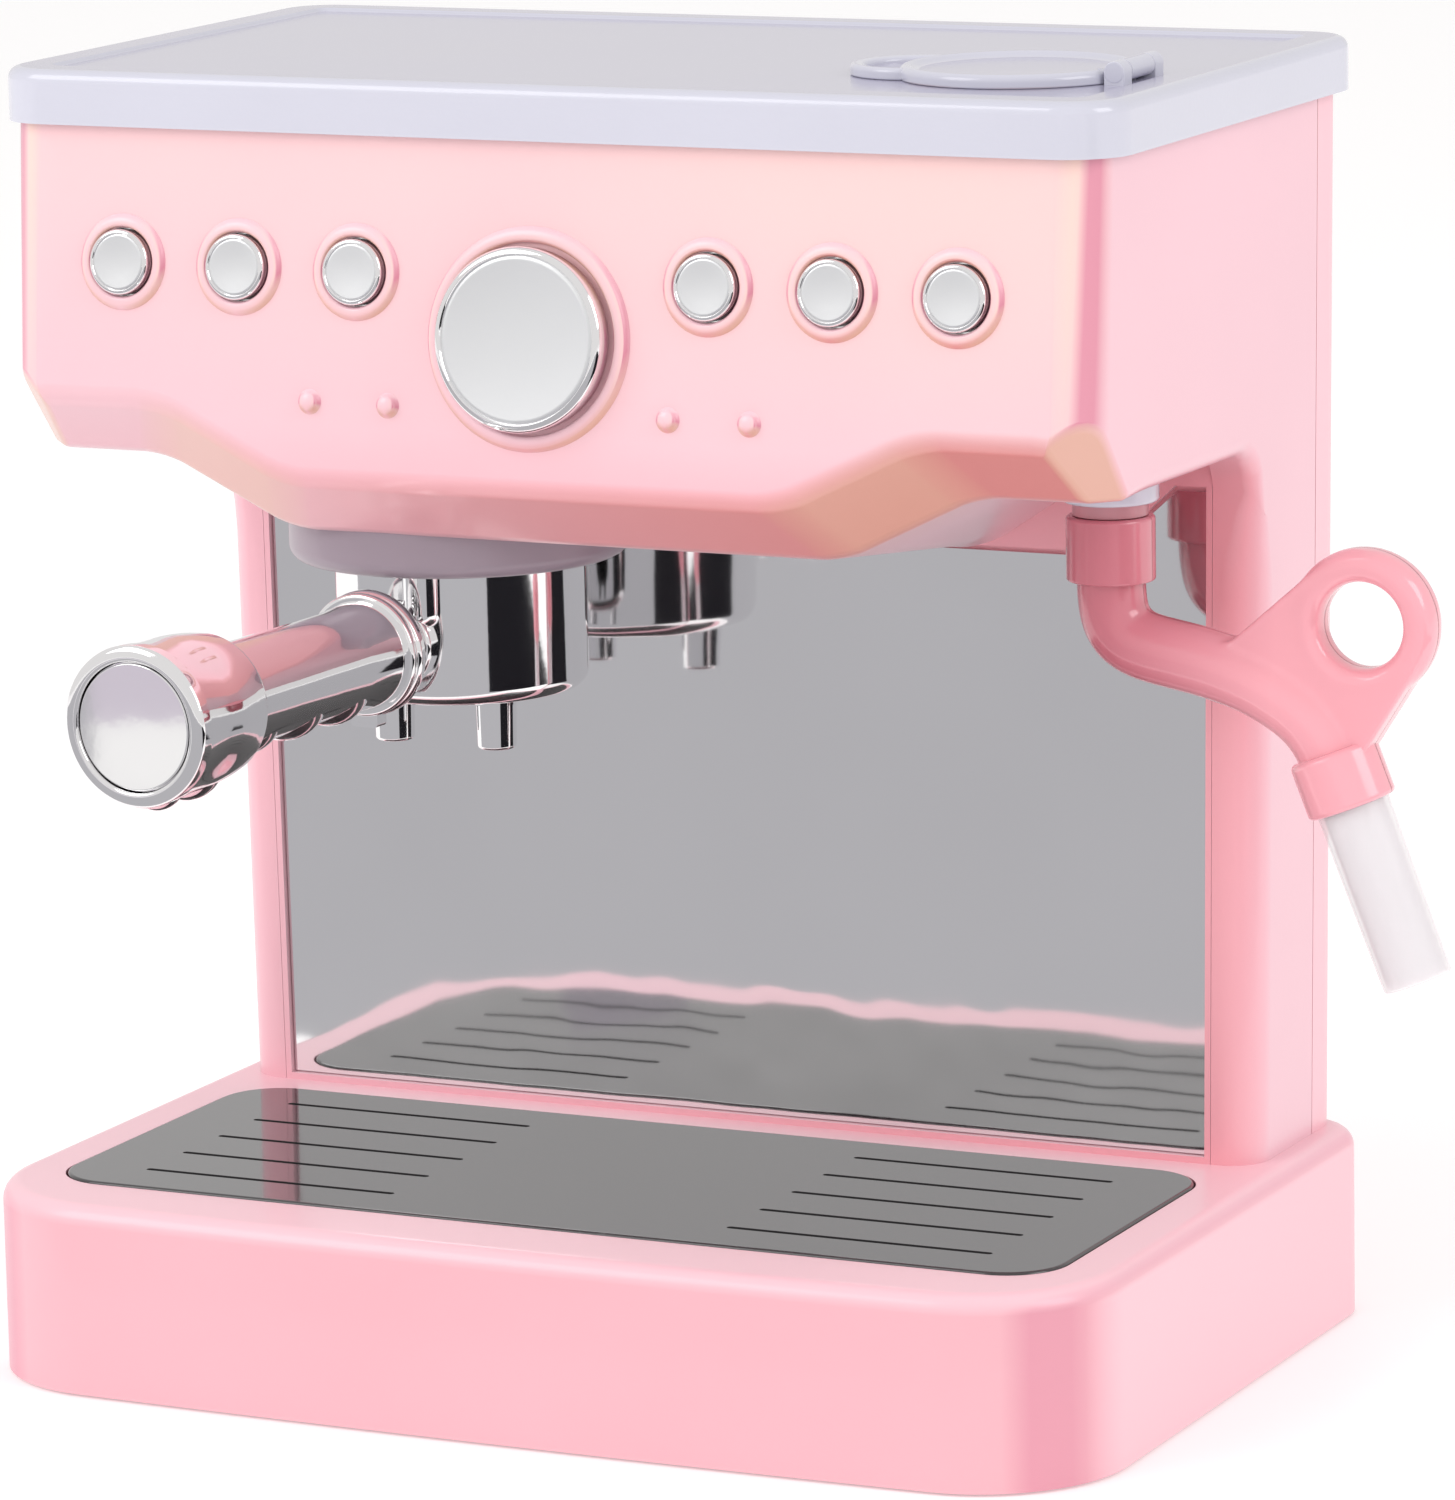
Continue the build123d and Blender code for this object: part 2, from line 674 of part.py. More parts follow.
def panel_block(inset):
    """Front panel's outer form, or its hollow when inset is the wall."""
    top = housing_top - 0.1 if inset == 0 else housing_top + 5
    half_top = half_width_at(top, head_half_width) - inset
    half_low = half_width_at(bevel_side_bottom, head_half_width) - inset
    face_points = stepped_outline(half_top, top, half_low, panel_side_bottom + inset, panel_knee_out,
                                  panel_knee_in, panel_mid_bottom + inset)
    near = outline_face(face_points, lambda z: panel_y(z) + inset, knee_round)
    bevel_points = stepped_outline(half_top, top, half_low, bevel_side_bottom + inset, bevel_knee_out,
                                   bevel_knee_in, bevel_mid_bottom + inset)
    middle = outline_face(bevel_points, lambda z: bevel_back, knee_round)
    rear_y = panel_back if inset == 0 else panel_back + 1
    side_z = belly_value(rear_y, bevel_side_bottom, pan_rear_side) + inset
    mid_z = belly_value(rear_y, bevel_mid_bottom, pan_rear_mid) + inset
    rear_points = stepped_outline(half_top, top, half_low, side_z, bevel_knee_out, bevel_knee_in, mid_z)
    far = outline_face(rear_points, lambda z: rear_y, knee_round)
    block = loft([near, middle], ruled=True) + loft([middle, far], ruled=True)
    block &= loft([plan_section(bevel_mid_bottom - 5, inset), plan_section(housing_top + 5, inset)], ruled=True)
    for side in (-1, 1):
        plane = corner_facet(side)
        cut = Plane(plane.origin - plane.z_dir * inset, z_dir=plane.z_dir)
        block = split(block, bisect_by=cut, keep=Keep.BOTTOM)
    return block


def raised_ring(radius, height):
    """Domed ring around a button, built up from inside the panel wall."""
    ring = Pos(0, 0, -panel_wall / 2) * Cylinder(radius, height + panel_wall / 2, align=BOTTOM)
    return fillet(ring.edges().group_by(Axis.Z)[-1], height * 0.85)


flange_front = panel_wall + 0.35
stem_end = flange_front + button_flange_thickness + button_stem_length
board_front = stem_end + button_travel + plunger_gap + plunger_height + switch_body_height
board_middle = (button_height + dot_height) / 2
board_width = button_height - dot_height + 2 * board_margin
group_axis = Pos(group_x, group_y, 0)


def make_front_panel():
    panel = panel_block(0) - panel_block(panel_wall)
    for x in button_places:
        panel += panel_place(x, button_height) * raised_ring(button_ring_radius, button_ring_height)
    panel += panel_place(0, dial_height) * raised_ring(dial_ring_radius, dial_ring_height)
    for x in button_places:
        panel -= panel_place(x, button_height) * Cylinder(button_radius + button_hole_gap, 20)
    dish = Cylinder(dial_ring_inner, 10, align=BOTTOM)
    panel -= panel_place(0, dial_height) * (dish + Cylinder(dial_shaft_radius + 0.6, 20))
    for x in dot_places:
        panel += panel_place(x, dot_height) * (Sphere(dot_radius) & Cylinder(dot_radius, 5, align=BOTTOM))
    for x in board_post_places:
        post = Cylinder(board_post_radius, board_front - panel_wall / 2, align=BOTTOM)
        panel += panel_place(x, board_middle) * Pos(0, 0, -board_front) * post
    panel -= group_axis * Cylinder(group_radius + seam_gap, 300, align=BOTTOM)
    return panel.solid()


# ---- buttons, dial and control board ----------------------------------------
def make_button(x):
    cap = Pos(0, 0, -flange_front) * Cylinder(button_radius, flange_front + button_proud, align=BOTTOM)
    cap = fillet(cap.edges().group_by(Axis.Z)[-1], 0.8)
    flange = Pos(0, 0, -flange_front - button_flange_thickness)
    cap += flange * Cylinder(button_flange_radius, button_flange_thickness, align=BOTTOM)
    cap += Pos(0, 0, -stem_end) * Cylinder(button_stem_radius, button_stem_length + 1, align=BOTTOM)
    return panel_place(x, button_height) * cap


def make_dial():
    rise = 0.4
    disc = Pos(0, 0, rise) * Cylinder(dial_radius, dial_proud - rise, align=BOTTOM)
    disc = chamfer(disc.edges().group_by(Axis.Z)[-1], dial_radius - dial_face_radius, 0.9)
    disc = fillet(disc.edges().group_by(Axis.Z)[0], 0.4)
    shaft_length = board_front - 2.0
    shaft = Pos(0, 0, -shaft_length) * Cylinder(dial_shaft_radius, shaft_length + 1.5, align=BOTTOM)
    return panel_place(0, dial_height) * (disc + shaft)


def make_dial_encoder():
    body_height = 7.0
    body = Pos(0, 0, -board_front) * rounded_block(14.0, 14.0, body_height, 1.0)
    bush = Pos(0, 0, -board_front) * Cylinder(5.0, body_height + 3.0, align=BOTTOM)
    bore = Pos(0, 0, -board_front + 1.5) * Cylinder(dial_shaft_radius + running_gap, 20, align=BOTTOM)
    return panel_place(0, dial_height) * (body + bush - bore)


def make_control_board():
    plate = rounded_block(board_length, board_width, board_thickness, 2.0)
    return panel_place(0, board_middle) * Pos(0, 0, -board_front - board_thickness) * plate


def make_switches():
    body = rounded_block(switch_size, switch_size, switch_body_height, 0.5)
    body += Cylinder(plunger_radius, switch_body_height + plunger_height, align=BOTTOM)
    return Compound([panel_place(x, button_height) * Pos(0, 0, -board_front) * body for x in button_places])


def make_indicator_leds():
    depth = panel_wall + 0.3
    led = Cylinder(1.5, board_front - depth - 1.0, align=BOTTOM)
    led = fillet(led.edges().group_by(Axis.Z)[-1], 1.2)
    return Compound([panel_place(x, dot_height) * Pos(0, 0, -board_front) * led for x in dot_places])


# ---- top cover and hatch ----------------------------------------------------
def lid_outline(inset):
    plan = Pos(0, (lid_front + lid_back) / 2) * Rectangle(lid_width - 2 * inset, lid_back - lid_front - 2 * inset)
    plan = fillet(plan.vertices().group_by(Axis.Y)[0], lid_front_corner - inset)
    return fillet(plan.vertices().group_by(Axis.Y)[-1], lid_back_corner - inset)


def make_top_cover():
    lid = Pos(0, 0, lid_bottom) * extrude(lid_outline(0), lid_top - lid_bottom)
    lid = fillet(lid.edges().group_by(Axis.Z)[-1], lid_edge_round)
    lid -= Pos(0, 0, lid_top - lid_recess) * extrude(lid_outline(lid_border), 5)
    under = lid_top - lid_recess - lid_wall
    lid -= Pos(0, 0, lid_bottom - 1) * extrude(lid_outline(lid_wall), under - lid_bottom + 1)
    lid -= Pos(hatch_x, hatch_y, 0) * Cylinder(hatch_hole_radius, 300, align=BOTTOM)
    for side in (-1, 1):
        place = Pos(hinge_x, hatch_y + side * ear_offset, 0)
        ear = place * Pos(0, 0, hinge_z) * along_y * Cylinder(hinge_knuckle_radius, hinge_ear_length)
        foot_height = hinge_z - (under + 1)
        ear += place * Pos(0, 0, under + 1) * Box(2 * hinge_knuckle_radius, hinge_ear_length, foot_height,
                                                 align=BOTTOM)
        lid += ear
    lid -= Pos(hinge_x, hatch_y, hinge_z) * along_y * Cylinder(hinge_pin_radius, 60)
    return lid.solid()


def make_hatch():
    tab_x = hatch_x - hatch_tab_offset
    cap = Pos(hatch_x, hatch_y, hatch_bottom) * Cylinder(hatch_radius, hatch_thickness, align=BOTTOM)
    tab = Pos(tab_x, hatch_y, hatch_bottom) * Cylinder(hatch_tab_radius, hatch_thickness, align=BOTTOM)
    dish = Pos(tab_x, hatch_y, hatch_bottom + 1.0) * Cylinder(hatch_tab_radius - hatch_tab_rim, 5, align=BOTTOM)
    cap_edge = Pos(hatch_x, hatch_y, 0) * Cylinder(hatch_radius, 400)
    cut = hinge_x - hinge_knuckle_radius - 0.5
    cap &= between(-base_width, cut, front, back, 0, 300)
    cap += tab - cap_edge
    cap -= dish - cap_edge
    cap -= Pos(hatch_x, hatch_y, hatch_bottom + hatch_thickness + 24.0) * Sphere(25.0)
    plug_top = hatch_bottom + 0.5
    plug_bottom = lid_top - lid_recess - hatch_plug_depth
    plug = Cylinder(hatch_hole_radius - hatch_plug_gap, plug_top - plug_bottom, align=BOTTOM)
    plug -= Cylinder(hatch_hole_radius - hatch_plug_gap - 1.6, 40)
    cap += Pos(hatch_x, hatch_y, plug_bottom) * plug
    knuckle = Pos(hinge_x, hatch_y, hinge_z) * along_y * Cylinder(hinge_knuckle_radius, hinge_knuckle_length)
    web = between(cut - 2, hinge_x, hatch_y - hinge_knuckle_length / 2, hatch_y + hinge_knuckle_length / 2,
                  hinge_z - 0.6, hinge_z + 0.9)
    cap += knuckle + web
    cap -= Pos(hinge_x, hatch_y, hinge_z) * along_y * Cylinder(hinge_pin_radius + running_gap, 60)
    return cap.solid()


def make_hatch_pin():
    return Pos(hinge_x, hatch_y, hinge_z) * along_y * Cylinder(hinge_pin_radius, 2 * ear_offset + hinge_ear_length)


# ---- group head -------------------------------------------------------------
lip_top = group_bottom + group_lip_thickness
lock_ring_bottom = lip_top + lock_ring_gap


def make_group_head():
    body = Pos(0, 0, group_bottom) * Cylinder(group_radius, group_top - group_bottom, align=BOTTOM)
    body = fillet(body.edges().group_by(Axis.Z)[0], group_edge_round)
    flange = Cylinder(group_flange_radius, group_flange_thickness, align=BOTTOM)
    flange = Pos(0, 0, group_top - group_flange_thickness) * flange
    body += flange & (Pos(-group_x, -group_y, 0) * pan_hollow)
    body -= Pos(0, 0, lip_top) * Cylinder(group_bore_radius, group_bore_top - lip_top, align=BOTTOM)
    body -= Cylinder(group_lip_radius, group_bore_top, align=BOTTOM)
    body -= Cylinder(nozzle_radius + seam_gap / 3, 300, align=BOTTOM)
    return (group_axis * body).solid()


def make_brew_nozzle():
    nozzle = Pos(0, 0, group_bore_top - 1.5) * Cylinder(nozzle_radius, group_top - group_bore_top + 6, align=BOTTOM)
    nozzle += Pos(0, 0, group_top) * Cylinder(nozzle_radius + 2, 1.6, align=BOTTOM)
    barb = Pos(0, 0, pump_z) * Rot(0, 90, 0)
    nozzle += barb * Cylinder(nozzle_barb_radius, nozzle_barb_length, align=BOTTOM)
    nozzle -= Cylinder(1.2, pump_z, align=BOTTOM)
    nozzle -= barb * Cylinder(0.9, nozzle_barb_length + 1, align=BOTTOM)
    return group_axis * nozzle


def ear_posts(radius, bottom, height):
    """The two locking ears, opposite each other on the cup's wall."""
    centre = ear_reach - ear_radius
    posts = []
    for turn in (ear_turn, ear_turn + 180):
        post = Rot(0, 0, turn) * Pos(0, -centre, bottom) * Cylinder(radius, height, align=BOTTOM)
        posts.append(post)
    return posts


portafilter_place = group_axis * Rot(0, 0, -handle_turn)


def make_lock_ring():
    height = group_bore_top - lock_ring_gap - lock_ring_bottom
    ring = Cylinder(group_bore_radius - lock_ring_gap, height, align=BOTTOM)
    ring -= Cylinder(cup_radius + cup_gap, height * 3)
    ring = Pos(0, 0, lock_ring_bottom) * ring
    for post in ear_posts(ear_radius + ear_gap, 0, cup_rim + 0.5):
        ring -= post
    return portafilter_place * ring


# ---- portafilter ------------------------------------------------------------
def make_portafilter_cup():
    height = cup_rim - cup_bottom
    cup = Pos(0, 0, cup_bottom) * Cylinder(cup_radius, height, align=BOTTOM)
    cup = fillet(cup.edges().group_by(Axis.Z)[0], cup_edge_round)
    for post in ear_posts(ear_radius, ear_bottom, cup_rim - 0.6 - ear_bottom):
        cup += fillet(post.edges().group_by(Axis.Z)[0], ear_radius - 0.4)
    neck = Pos(0, 0, handle_height) * Rot(90, 0, 0)
    cup += neck * Pos(0, 0, cup_radius - 2) * Cylinder(neck_radius, collar_start - cup_radius + 2, align=BOTTOM)
    ring = neck * Pos(0, 0, cup_radius - 1.5) * Cylinder(neck_flange_radius, 3.4, align=BOTTOM)
    cup += fillet(ring.edges().group_by(Axis.Y)[0], 0.9)
    cup -= Pos(0, 0, cup_bottom + cup_wall) * Cylinder(cup_radius - cup_wall, height, align=BOTTOM)
    for side in (-1, 1):
        hole = Pos(side * spout_half_spacing, -spout_forward, cup_bottom - 1)
        cup -= hole * Cylinder(spout_bore, cup_wall * 2, align=BOTTOM)
    return portafilter_place * cup


def make_spouts():
    bridge_height = 1.4
    bridge = extrude(SlotOverall(2 * (spout_half_spacing + spout_radius), 2 * spout_radius), bridge_height)
    block = Pos(0, -spout_forward, cup_bottom - bridge_height) * bridge
    for side in (-1, 1):
        place = Pos(side * spout_half_spacing, -spout_forward, spout_bottom)
        tube = place * Cone(spout_radius - 0.2, spout_radius, cup_bottom - spout_bottom, align=BOTTOM)
        block += tube
    for side in (-1, 1):
        block -= Pos(side * spout_half_spacing, -spout_forward, 0) * Cylinder(spout_bore, 300, align=BOTTOM)
    return portafilter_place * block


def handle_revolve(points):
    """Body of revolution along the handle from (distance, radius) points."""
    flat = make_face(Polyline([(radius, 0, distance) for distance, radius in points], close=True))
    return revolve(flat, Axis.Z)


handle_axis = Pos(0, 0, handle_height) * Rot(90, 0, 0)


def make_handle_collar():
    collar = Pos(0, 0, collar_start) * Cylinder(collar_radius, collar_length, align=BOTTOM)
    collar = fillet(collar.edges(), 1.4)
    groove = Pos(0, 0, collar_start + collar_length * 0.62) * Torus(collar_radius + 0.1, 0.7)
    nub = Pos(0, -collar_radius, collar_start + 1.0) * rounded_block(6.0, 4.0, collar_length - 2, 0.8)
    return portafilter_place * handle_axis * (collar - groove + nub)


def make_handle_grip():
    start = collar_start + collar_length
    grip = handle_revolve([(start, 0), (start, grip_radius_inner), (grip_end, grip_radius_outer), (grip_end, 0)])
    for row in range(3):
        distance = start + 12.0 + row * bump_pitch
        drop = grip_radius_inner + bump_proud - bump_radius
        grip += Pos(0, -drop, distance) * Sphere(bump_radius)
    return portafilter_place * handle_axis * grip


def make_handle_cap():
    end = grip_end + cap_length
    cap = handle_revolve([(grip_end, 0), (grip_end, cap_radius_inner), (end - 4, cap_radius_outer),
                          (end, cap_radius_outer), (end, 0)])
    cap = fillet(cap.edges().group_by(Axis.Z)[-1], 3.0)
    cap = fillet(cap.edges().group_by(Axis.Z)[0], 0.8)
    for distance, radius, drop in ((end - 7.5, 5.5, 11.6), (end - 17.5, 7.6, 9.4)):
        cap += Pos(0, -drop, distance) * Sphere(radius)
    pocket = end_mirror_thickness + end_mirror_sunk
    cap -= Pos(0, 0, end - pocket) * Cylinder(end_mirror_radius + 0.1, pocket + 1, align=BOTTOM)
    return portafilter_place * handle_axis * cap


def make_end_mirror():
    bottom = grip_end + cap_length - end_mirror_sunk - end_mirror_thickness
    disc = Pos(0, 0, bottom) * Cylinder(end_mirror_radius, end_mirror_thickness, align=BOTTOM)
    return portafilter_place * handle_axis * disc


# ---- steam wand -------------------------------------------------------------
def make_wand_collar():
    bottom = wand_collar_bottom
    collar = Pos(0, 0, bottom) * Cylinder(wand_collar_radius, wand_collar_height, align=BOTTOM)
    collar = fillet(collar.edges().group_by(Axis.Z)[0], 0.8)
    top = side_lower_edge + 6.0
    collar += Pos(0, 0, bottom) * Cylinder(wand_neck_radius, top - bottom, align=BOTTOM)
    pivot_bottom = sleeve_top - wand_pivot_depth
    collar += Pos(0, 0, pivot_bottom) * Cylinder(wand_pivot_radius, top - pivot_bottom, align=BOTTOM)
    return Pos(wand_x, wand_y, 0) * collar


def make_wand_ring():
    ring = Cylinder(wand_ring_radius, wand_ring_height, align=BOTTOM)
    ring -= Cylinder(wand_pivot_radius + running_gap, 20)
    return Pos(wand_x, wand_y, sleeve_top + 0.15) * ring


tip_direction = (sin(radians(tip_lean)), 0, -cos(radians(tip_lean)))
socket_plane = Plane(origin=(socket_top_x, wand_y, socket_top_z), x_dir=(0, 1, 0), z_dir=tip_direction)


def wand_arm():
    """Round arm: down from the sleeve, round the elbow and out towards the finger loop."""
    top = (wand_x, wand_y, sleeve_top - sleeve_length + 1)
    bend = (wand_x, wand_y, 150.3)
    reach = (128.0, wand_y, 142.7)
    path = FilletPolyline(top, bend, reach, radius=11.0)
    profile = Plane(origin=top, z_dir=(0, 0, -1)) * Circle(arm_radius)
    return sweep(profile, path)


def wand_web():
    """Flat blade that carries the loop and runs into the socket."""
    points = [(120.0, 151.5), (127.5, 151.8), (134.5, 161.0), (150.0, 160.0), (159.5, 147.6), (148.0, 132.2),
              (141.0, 127.0), (134.6, 127.6), (127.4, 136.0), (118.5, 139.8)]
    flat = make_face(Polyline([(x, wand_y, z) for x, z in points], close=True))
    flat = fillet(flat.vertices().sort_by(Axis.X)[:3], 2.0)
    return extrude(flat, loop_half_thickness + 0.6, both=True, dir=(0, 1, 0))


def make_wand_body():
    sleeve = Pos(wand_x, wand_y, sleeve_top - sleeve_length) * Cylinder(sleeve_radius, sleeve_length, align=BOTTOM)
    sleeve = fillet(sleeve.edges().group_by(Axis.Z)[-1], 0.8)
    loop = Pos(loop_x, wand_y, loop_z) * Rot(90, 0, 0) * Cylinder(loop_radius, 2 * loop_half_thickness)
    loop = fillet(loop.edges().filter_by(GeomType.CIRCLE), 3.6)
    socket = socket_plane * Cylinder(socket_radius, socket_length, align=BOTTOM)
    socket = fillet(socket.edges().filter_by(GeomType.CIRCLE), 1.2)
    body = sleeve + wand_arm() + wand_web() + loop + socket
    hole = Pos(loop_x, wand_y, loop_z) * Rot(90, 0, 0) * Cylinder(loop_hole_radius, 40)
    body -= hole
    seat = socket_length - tip_seat
    body -= socket_plane * Pos(0, 0, seat) * Cylinder(tip_radius + 0.1, tip_seat + 5, align=BOTTOM)
    bore = Pos(wand_x, wand_y, sleeve_top - wand_pivot_depth - 0.5)
    body -= bore * Cylinder(wand_pivot_radius + running_gap, wand_pivot_depth + 5, align=BOTTOM)
    return body


wand_body = make_wand_body()


def make_wand_half(side):
    low = wand_y if side > 0 else wand_y - 60
    high = wand_y + 60 if side > 0 else wand_y
    return wand_body & between(0, 300, low, high, 0, 300)


def make_wand_tip():
    seat = socket_length - tip_seat
    length = tip_length + tip_seat
    tube = Pos(0, 0, seat) * Cone(tip_radius, tip_radius - 0.4, length, align=BOTTOM)
    tube = fillet(tube.edges().filter_by(GeomType.CIRCLE), 0.6)
    return socket_plane * tube


# ---- water, power and sound -------------------------------------------------
def make_water_tank():
    tank = Pos(tank_x, tank_y, tank_bottom) * rounded_block(tank_width, tank_depth, tank_top - tank_bottom, 6.0)
    neck_top = lid_top - lid_recess - lid_wall - seam_gap
    neck = Pos(hatch_x, hatch_y, tank_top - 1)
    tank += neck * Cylinder(hatch_hole_radius + neck_wall, neck_top - tank_top + 1, align=BOTTOM)
    tank += Pos(outlet_x, group_y, tank_bottom - barb_length) * Cylinder(barb_radius, barb_length + 1, align=BOTTOM)
    inner = rounded_block(tank_width - 2 * tank_wall, tank_depth - 2 * tank_wall,
                          tank_top - tank_bottom - 2 * tank_wall, 6.0 - tank_wall)
    tank -= Pos(tank_x, tank_y, tank_bottom + tank_wall) * inner
    tank -= Pos(hatch_x, hatch_y, tank_top - 3) * Cylinder(hatch_hole_radius, 300, align=BOTTOM)
    return tank


def make_pump():
    motor = Cylinder(pump_radius, pump_length)
    motor = fillet(motor.edges().filter_by(GeomType.CIRCLE), 1.5)
    motor += Cylinder(barb_radius, pump_length + 2 * barb_length)
    return Pos(pump_x, group_y, pump_z) * Rot(0, 90, 0) * motor


def make_water_hoses():
    outlet = pump_x - pump_length / 2 - 0.5
    nozzle_end = group_x + nozzle_radius + 2.8
    delivery = Pos(nozzle_end, group_y, pump_z) * Rot(0, 90, 0) * Cylinder(hose_radius, outlet - nozzle_end,
                                                                           align=BOTTOM)
    inlet = pump_x + pump_length / 2 + 0.5
    corner = (outlet_x, group_y, pump_z)
    route = FilletPolyline((outlet_x, group_y, tank_bottom - 0.5), corner, (inlet, group_y, pump_z),
                           radius=5 * hose_radius / 2)
    supply = sweep(Plane(origin=(outlet_x, group_y, tank_bottom - 0.5), z_dir=(0, 0, -1)) * Circle(hose_radius), route)
    bores = Pos(nozzle_end - 1, group_y, pump_z) * Rot(0, 90, 0) * Cylinder(barb_radius + 0.1, inlet - nozzle_end
                                                                          + barb_length + 2, align=BOTTOM)
    bores += Pos(outlet_x, group_y, tank_bottom) * Rot(180, 0, 0) * Cylinder(barb_radius + 0.1, barb_length + 1,
                                                                          align=BOTTOM)
    return Compound([(delivery - bores).solid(), (supply - bores).solid()])


# ---- power ------------------------------------------------------------------
def make_battery_box():
    outer = Pos(door_x, box_y, box_bottom) * rounded_block(
        door_length + 2 * box_flange, door_width + 2 * box_flange, box_wall, 2.0)
    outer += Pos(box_x, box_y, box_bottom) * rounded_block(box_length + 2 * box_wall, door_width + 2 * box_wall,
                                                          box_height + box_wall, 2.0)
    outer += Pos(door_screw_x, box_y, box_bottom) * Cylinder(boss_radius, 8.0, align=BOTTOM)
    outer -= Pos(box_x, box_y, 0) * rounded_block(box_length, door_width, box_bottom + box_height, 1.0)
    outer -= Pos(door_screw_x, box_y, 0) * Cylinder(screw_radius + 0.1, box_bottom + 7.0, align=BOTTOM)
    return outer


def make_battery_door():
    door = Pos(door_x, box_y, door_bottom) * rounded_block(door_length, door_width, door_thickness, 2.0)
    door -= Pos(door_screw_x, box_y, 0) * Cylinder(screw_radius + 0.1, 10.0, align=BOTTOM)
    door -= Pos(door_screw_x, box_y, 0) * Cylinder(screw_head_radius + 0.2, door_bottom + 1.2, align=BOTTOM)
    return door


def make_door_screw():
    head = Cylinder(screw_head_radius, 1.1, align=BOTTOM)
    shank = Cylinder(screw_radius, 8.0, align=BOTTOM)
    slot = Pos(0, 0, -0.1) * Box(4.0, 0.8, 1.2)
    return Pos(door_screw_x, box_y, door_bottom + 0.1) * (head + shank - slot)


def make_cells():
    cells = []
    for row in range(cell_count):
        y = box_y + (row - (cell_count - 1) / 2) * (2 * cell_radius + cell_gap)
        cell = Cylinder(cell_radius, cell_length - 1.5, align=BOTTOM)
        cell += Cylinder(2.6, cell_length, align=BOTTOM)
        cells.append(Pos(box_x - cell_length / 2, y, box_bottom + cell_gap + cell_radius) * Rot(0, 90, 0) * cell)
    return Compound(cells)


def make_battery_lead():
    board_back = panel_place(lead_x, button_height).from_local_coords(Vector(0, 0, -board_front - board_thickness))
    end = (lead_x, board_back.Y + 1.0, board_back.Z)
    start = (lead_x, lead_y, bottom_top)
    bend = lead_y - board_back.Y
    route = FilletPolyline(start, (lead_x, lead_y, board_back.Z), end, radius=min(0.45 * bend, 40.0))
    return sweep(Plane(origin=start, z_dir=(0, 0, 1)) * Circle(lead_radius), route)


def make_speaker():
    speaker = Cylinder(speaker_radius, 2.0, align=BOTTOM) + Cone(speaker_radius - 2, 9.0, speaker_depth, align=BOTTOM)
    return Pos(0, rear_face - wall - 0.2, speaker_z) * Rot(90, 0, 0) * speaker


parts = {
    "base_shell": make_base_shell(),
    "base_bottom": make_base_bottom(),
    "foot_pads": make_foot_pads(),
    "base_screws": make_base_screws(),
    "column_screws": make_column_screws(),
    "drip_plate": make_drip_plate(),
    "drip_tray": make_drip_tray(),
    "left_side_shell": make_side_shell(-1),
    "right_side_shell": make_side_shell(1),
    "rear_cover": make_rear_cover(),
    "rear_screws": make_rear_screws(),
    "backsplash": make_backsplash(),
    "backsplash_mirror": make_mirror(),
    "head_underside": make_head_underside(),
    "front_panel": make_front_panel(),
    "dial": make_dial(),
    "dial_encoder": make_dial_encoder(),
    "control_board": make_control_board(),
    "button_switches": make_switches(),
    "indicator_leds": make_indicator_leds(),
    "top_cover": make_top_cover(),
    "hatch": make_hatch(),
    "hatch_hinge_pin": make_hatch_pin(),
    "group_head": make_group_head(),
    "brew_nozzle": make_brew_nozzle(),
    "lock_ring": make_lock_ring(),
    "portafilter_cup": make_portafilter_cup(),
    "portafilter_spouts": make_spouts(),
    "handle_collar": make_handle_collar(),
    "handle_grip": make_handle_grip(),
    "handle_cap": make_handle_cap(),
    "handle_end_mirror": make_end_mirror(),
    "wand_collar": make_wand_collar(),
    "wand_ring": make_wand_ring(),
    "wand_front_half": make_wand_half(-1),
    "wand_back_half": make_wand_half(1),
    "wand_tip": make_wand_tip(),
    "water_tank": make_water_tank(),
    "pump": make_pump(),
    "water_hoses": make_water_hoses(),
    "battery_box": make_battery_box(),
    "battery_door": make_battery_door(),
    "battery_door_screw": make_door_screw(),
    "battery_cells": make_cells(),
    "battery_lead": make_battery_lead(),
    "speaker": make_speaker(),
}
for number, place in enumerate(button_places, start=1):
    parts[f"button_{number}"] = make_button(place)

for name, shape in parts.items():
    export_step(shape, f"parts/{name}.step")
    print(name, round(shape.volume), "mm3")
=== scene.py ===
import math

import bmesh
import bpy
from mathutils import Matrix, Quaternion, Vector


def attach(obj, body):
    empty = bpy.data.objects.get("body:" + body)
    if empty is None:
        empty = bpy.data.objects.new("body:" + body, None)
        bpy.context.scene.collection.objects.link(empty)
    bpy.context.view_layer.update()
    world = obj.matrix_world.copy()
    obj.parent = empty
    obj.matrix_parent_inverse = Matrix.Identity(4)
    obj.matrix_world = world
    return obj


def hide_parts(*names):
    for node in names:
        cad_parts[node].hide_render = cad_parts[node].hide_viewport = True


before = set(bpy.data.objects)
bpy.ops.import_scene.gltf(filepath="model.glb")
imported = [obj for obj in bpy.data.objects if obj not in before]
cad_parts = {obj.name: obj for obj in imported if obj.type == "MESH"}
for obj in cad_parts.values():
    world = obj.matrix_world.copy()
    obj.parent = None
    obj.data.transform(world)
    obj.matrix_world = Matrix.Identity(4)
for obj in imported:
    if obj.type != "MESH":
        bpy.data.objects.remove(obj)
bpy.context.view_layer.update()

# ---- Camera ----
# A long lens from the right and a little above, as a product picture is taken.
camera_data = bpy.data.cameras.new("camera")
camera_data.sensor_fit = "VERTICAL"
camera_data.sensor_height = 36.0
camera_data.sensor_width = 36.0
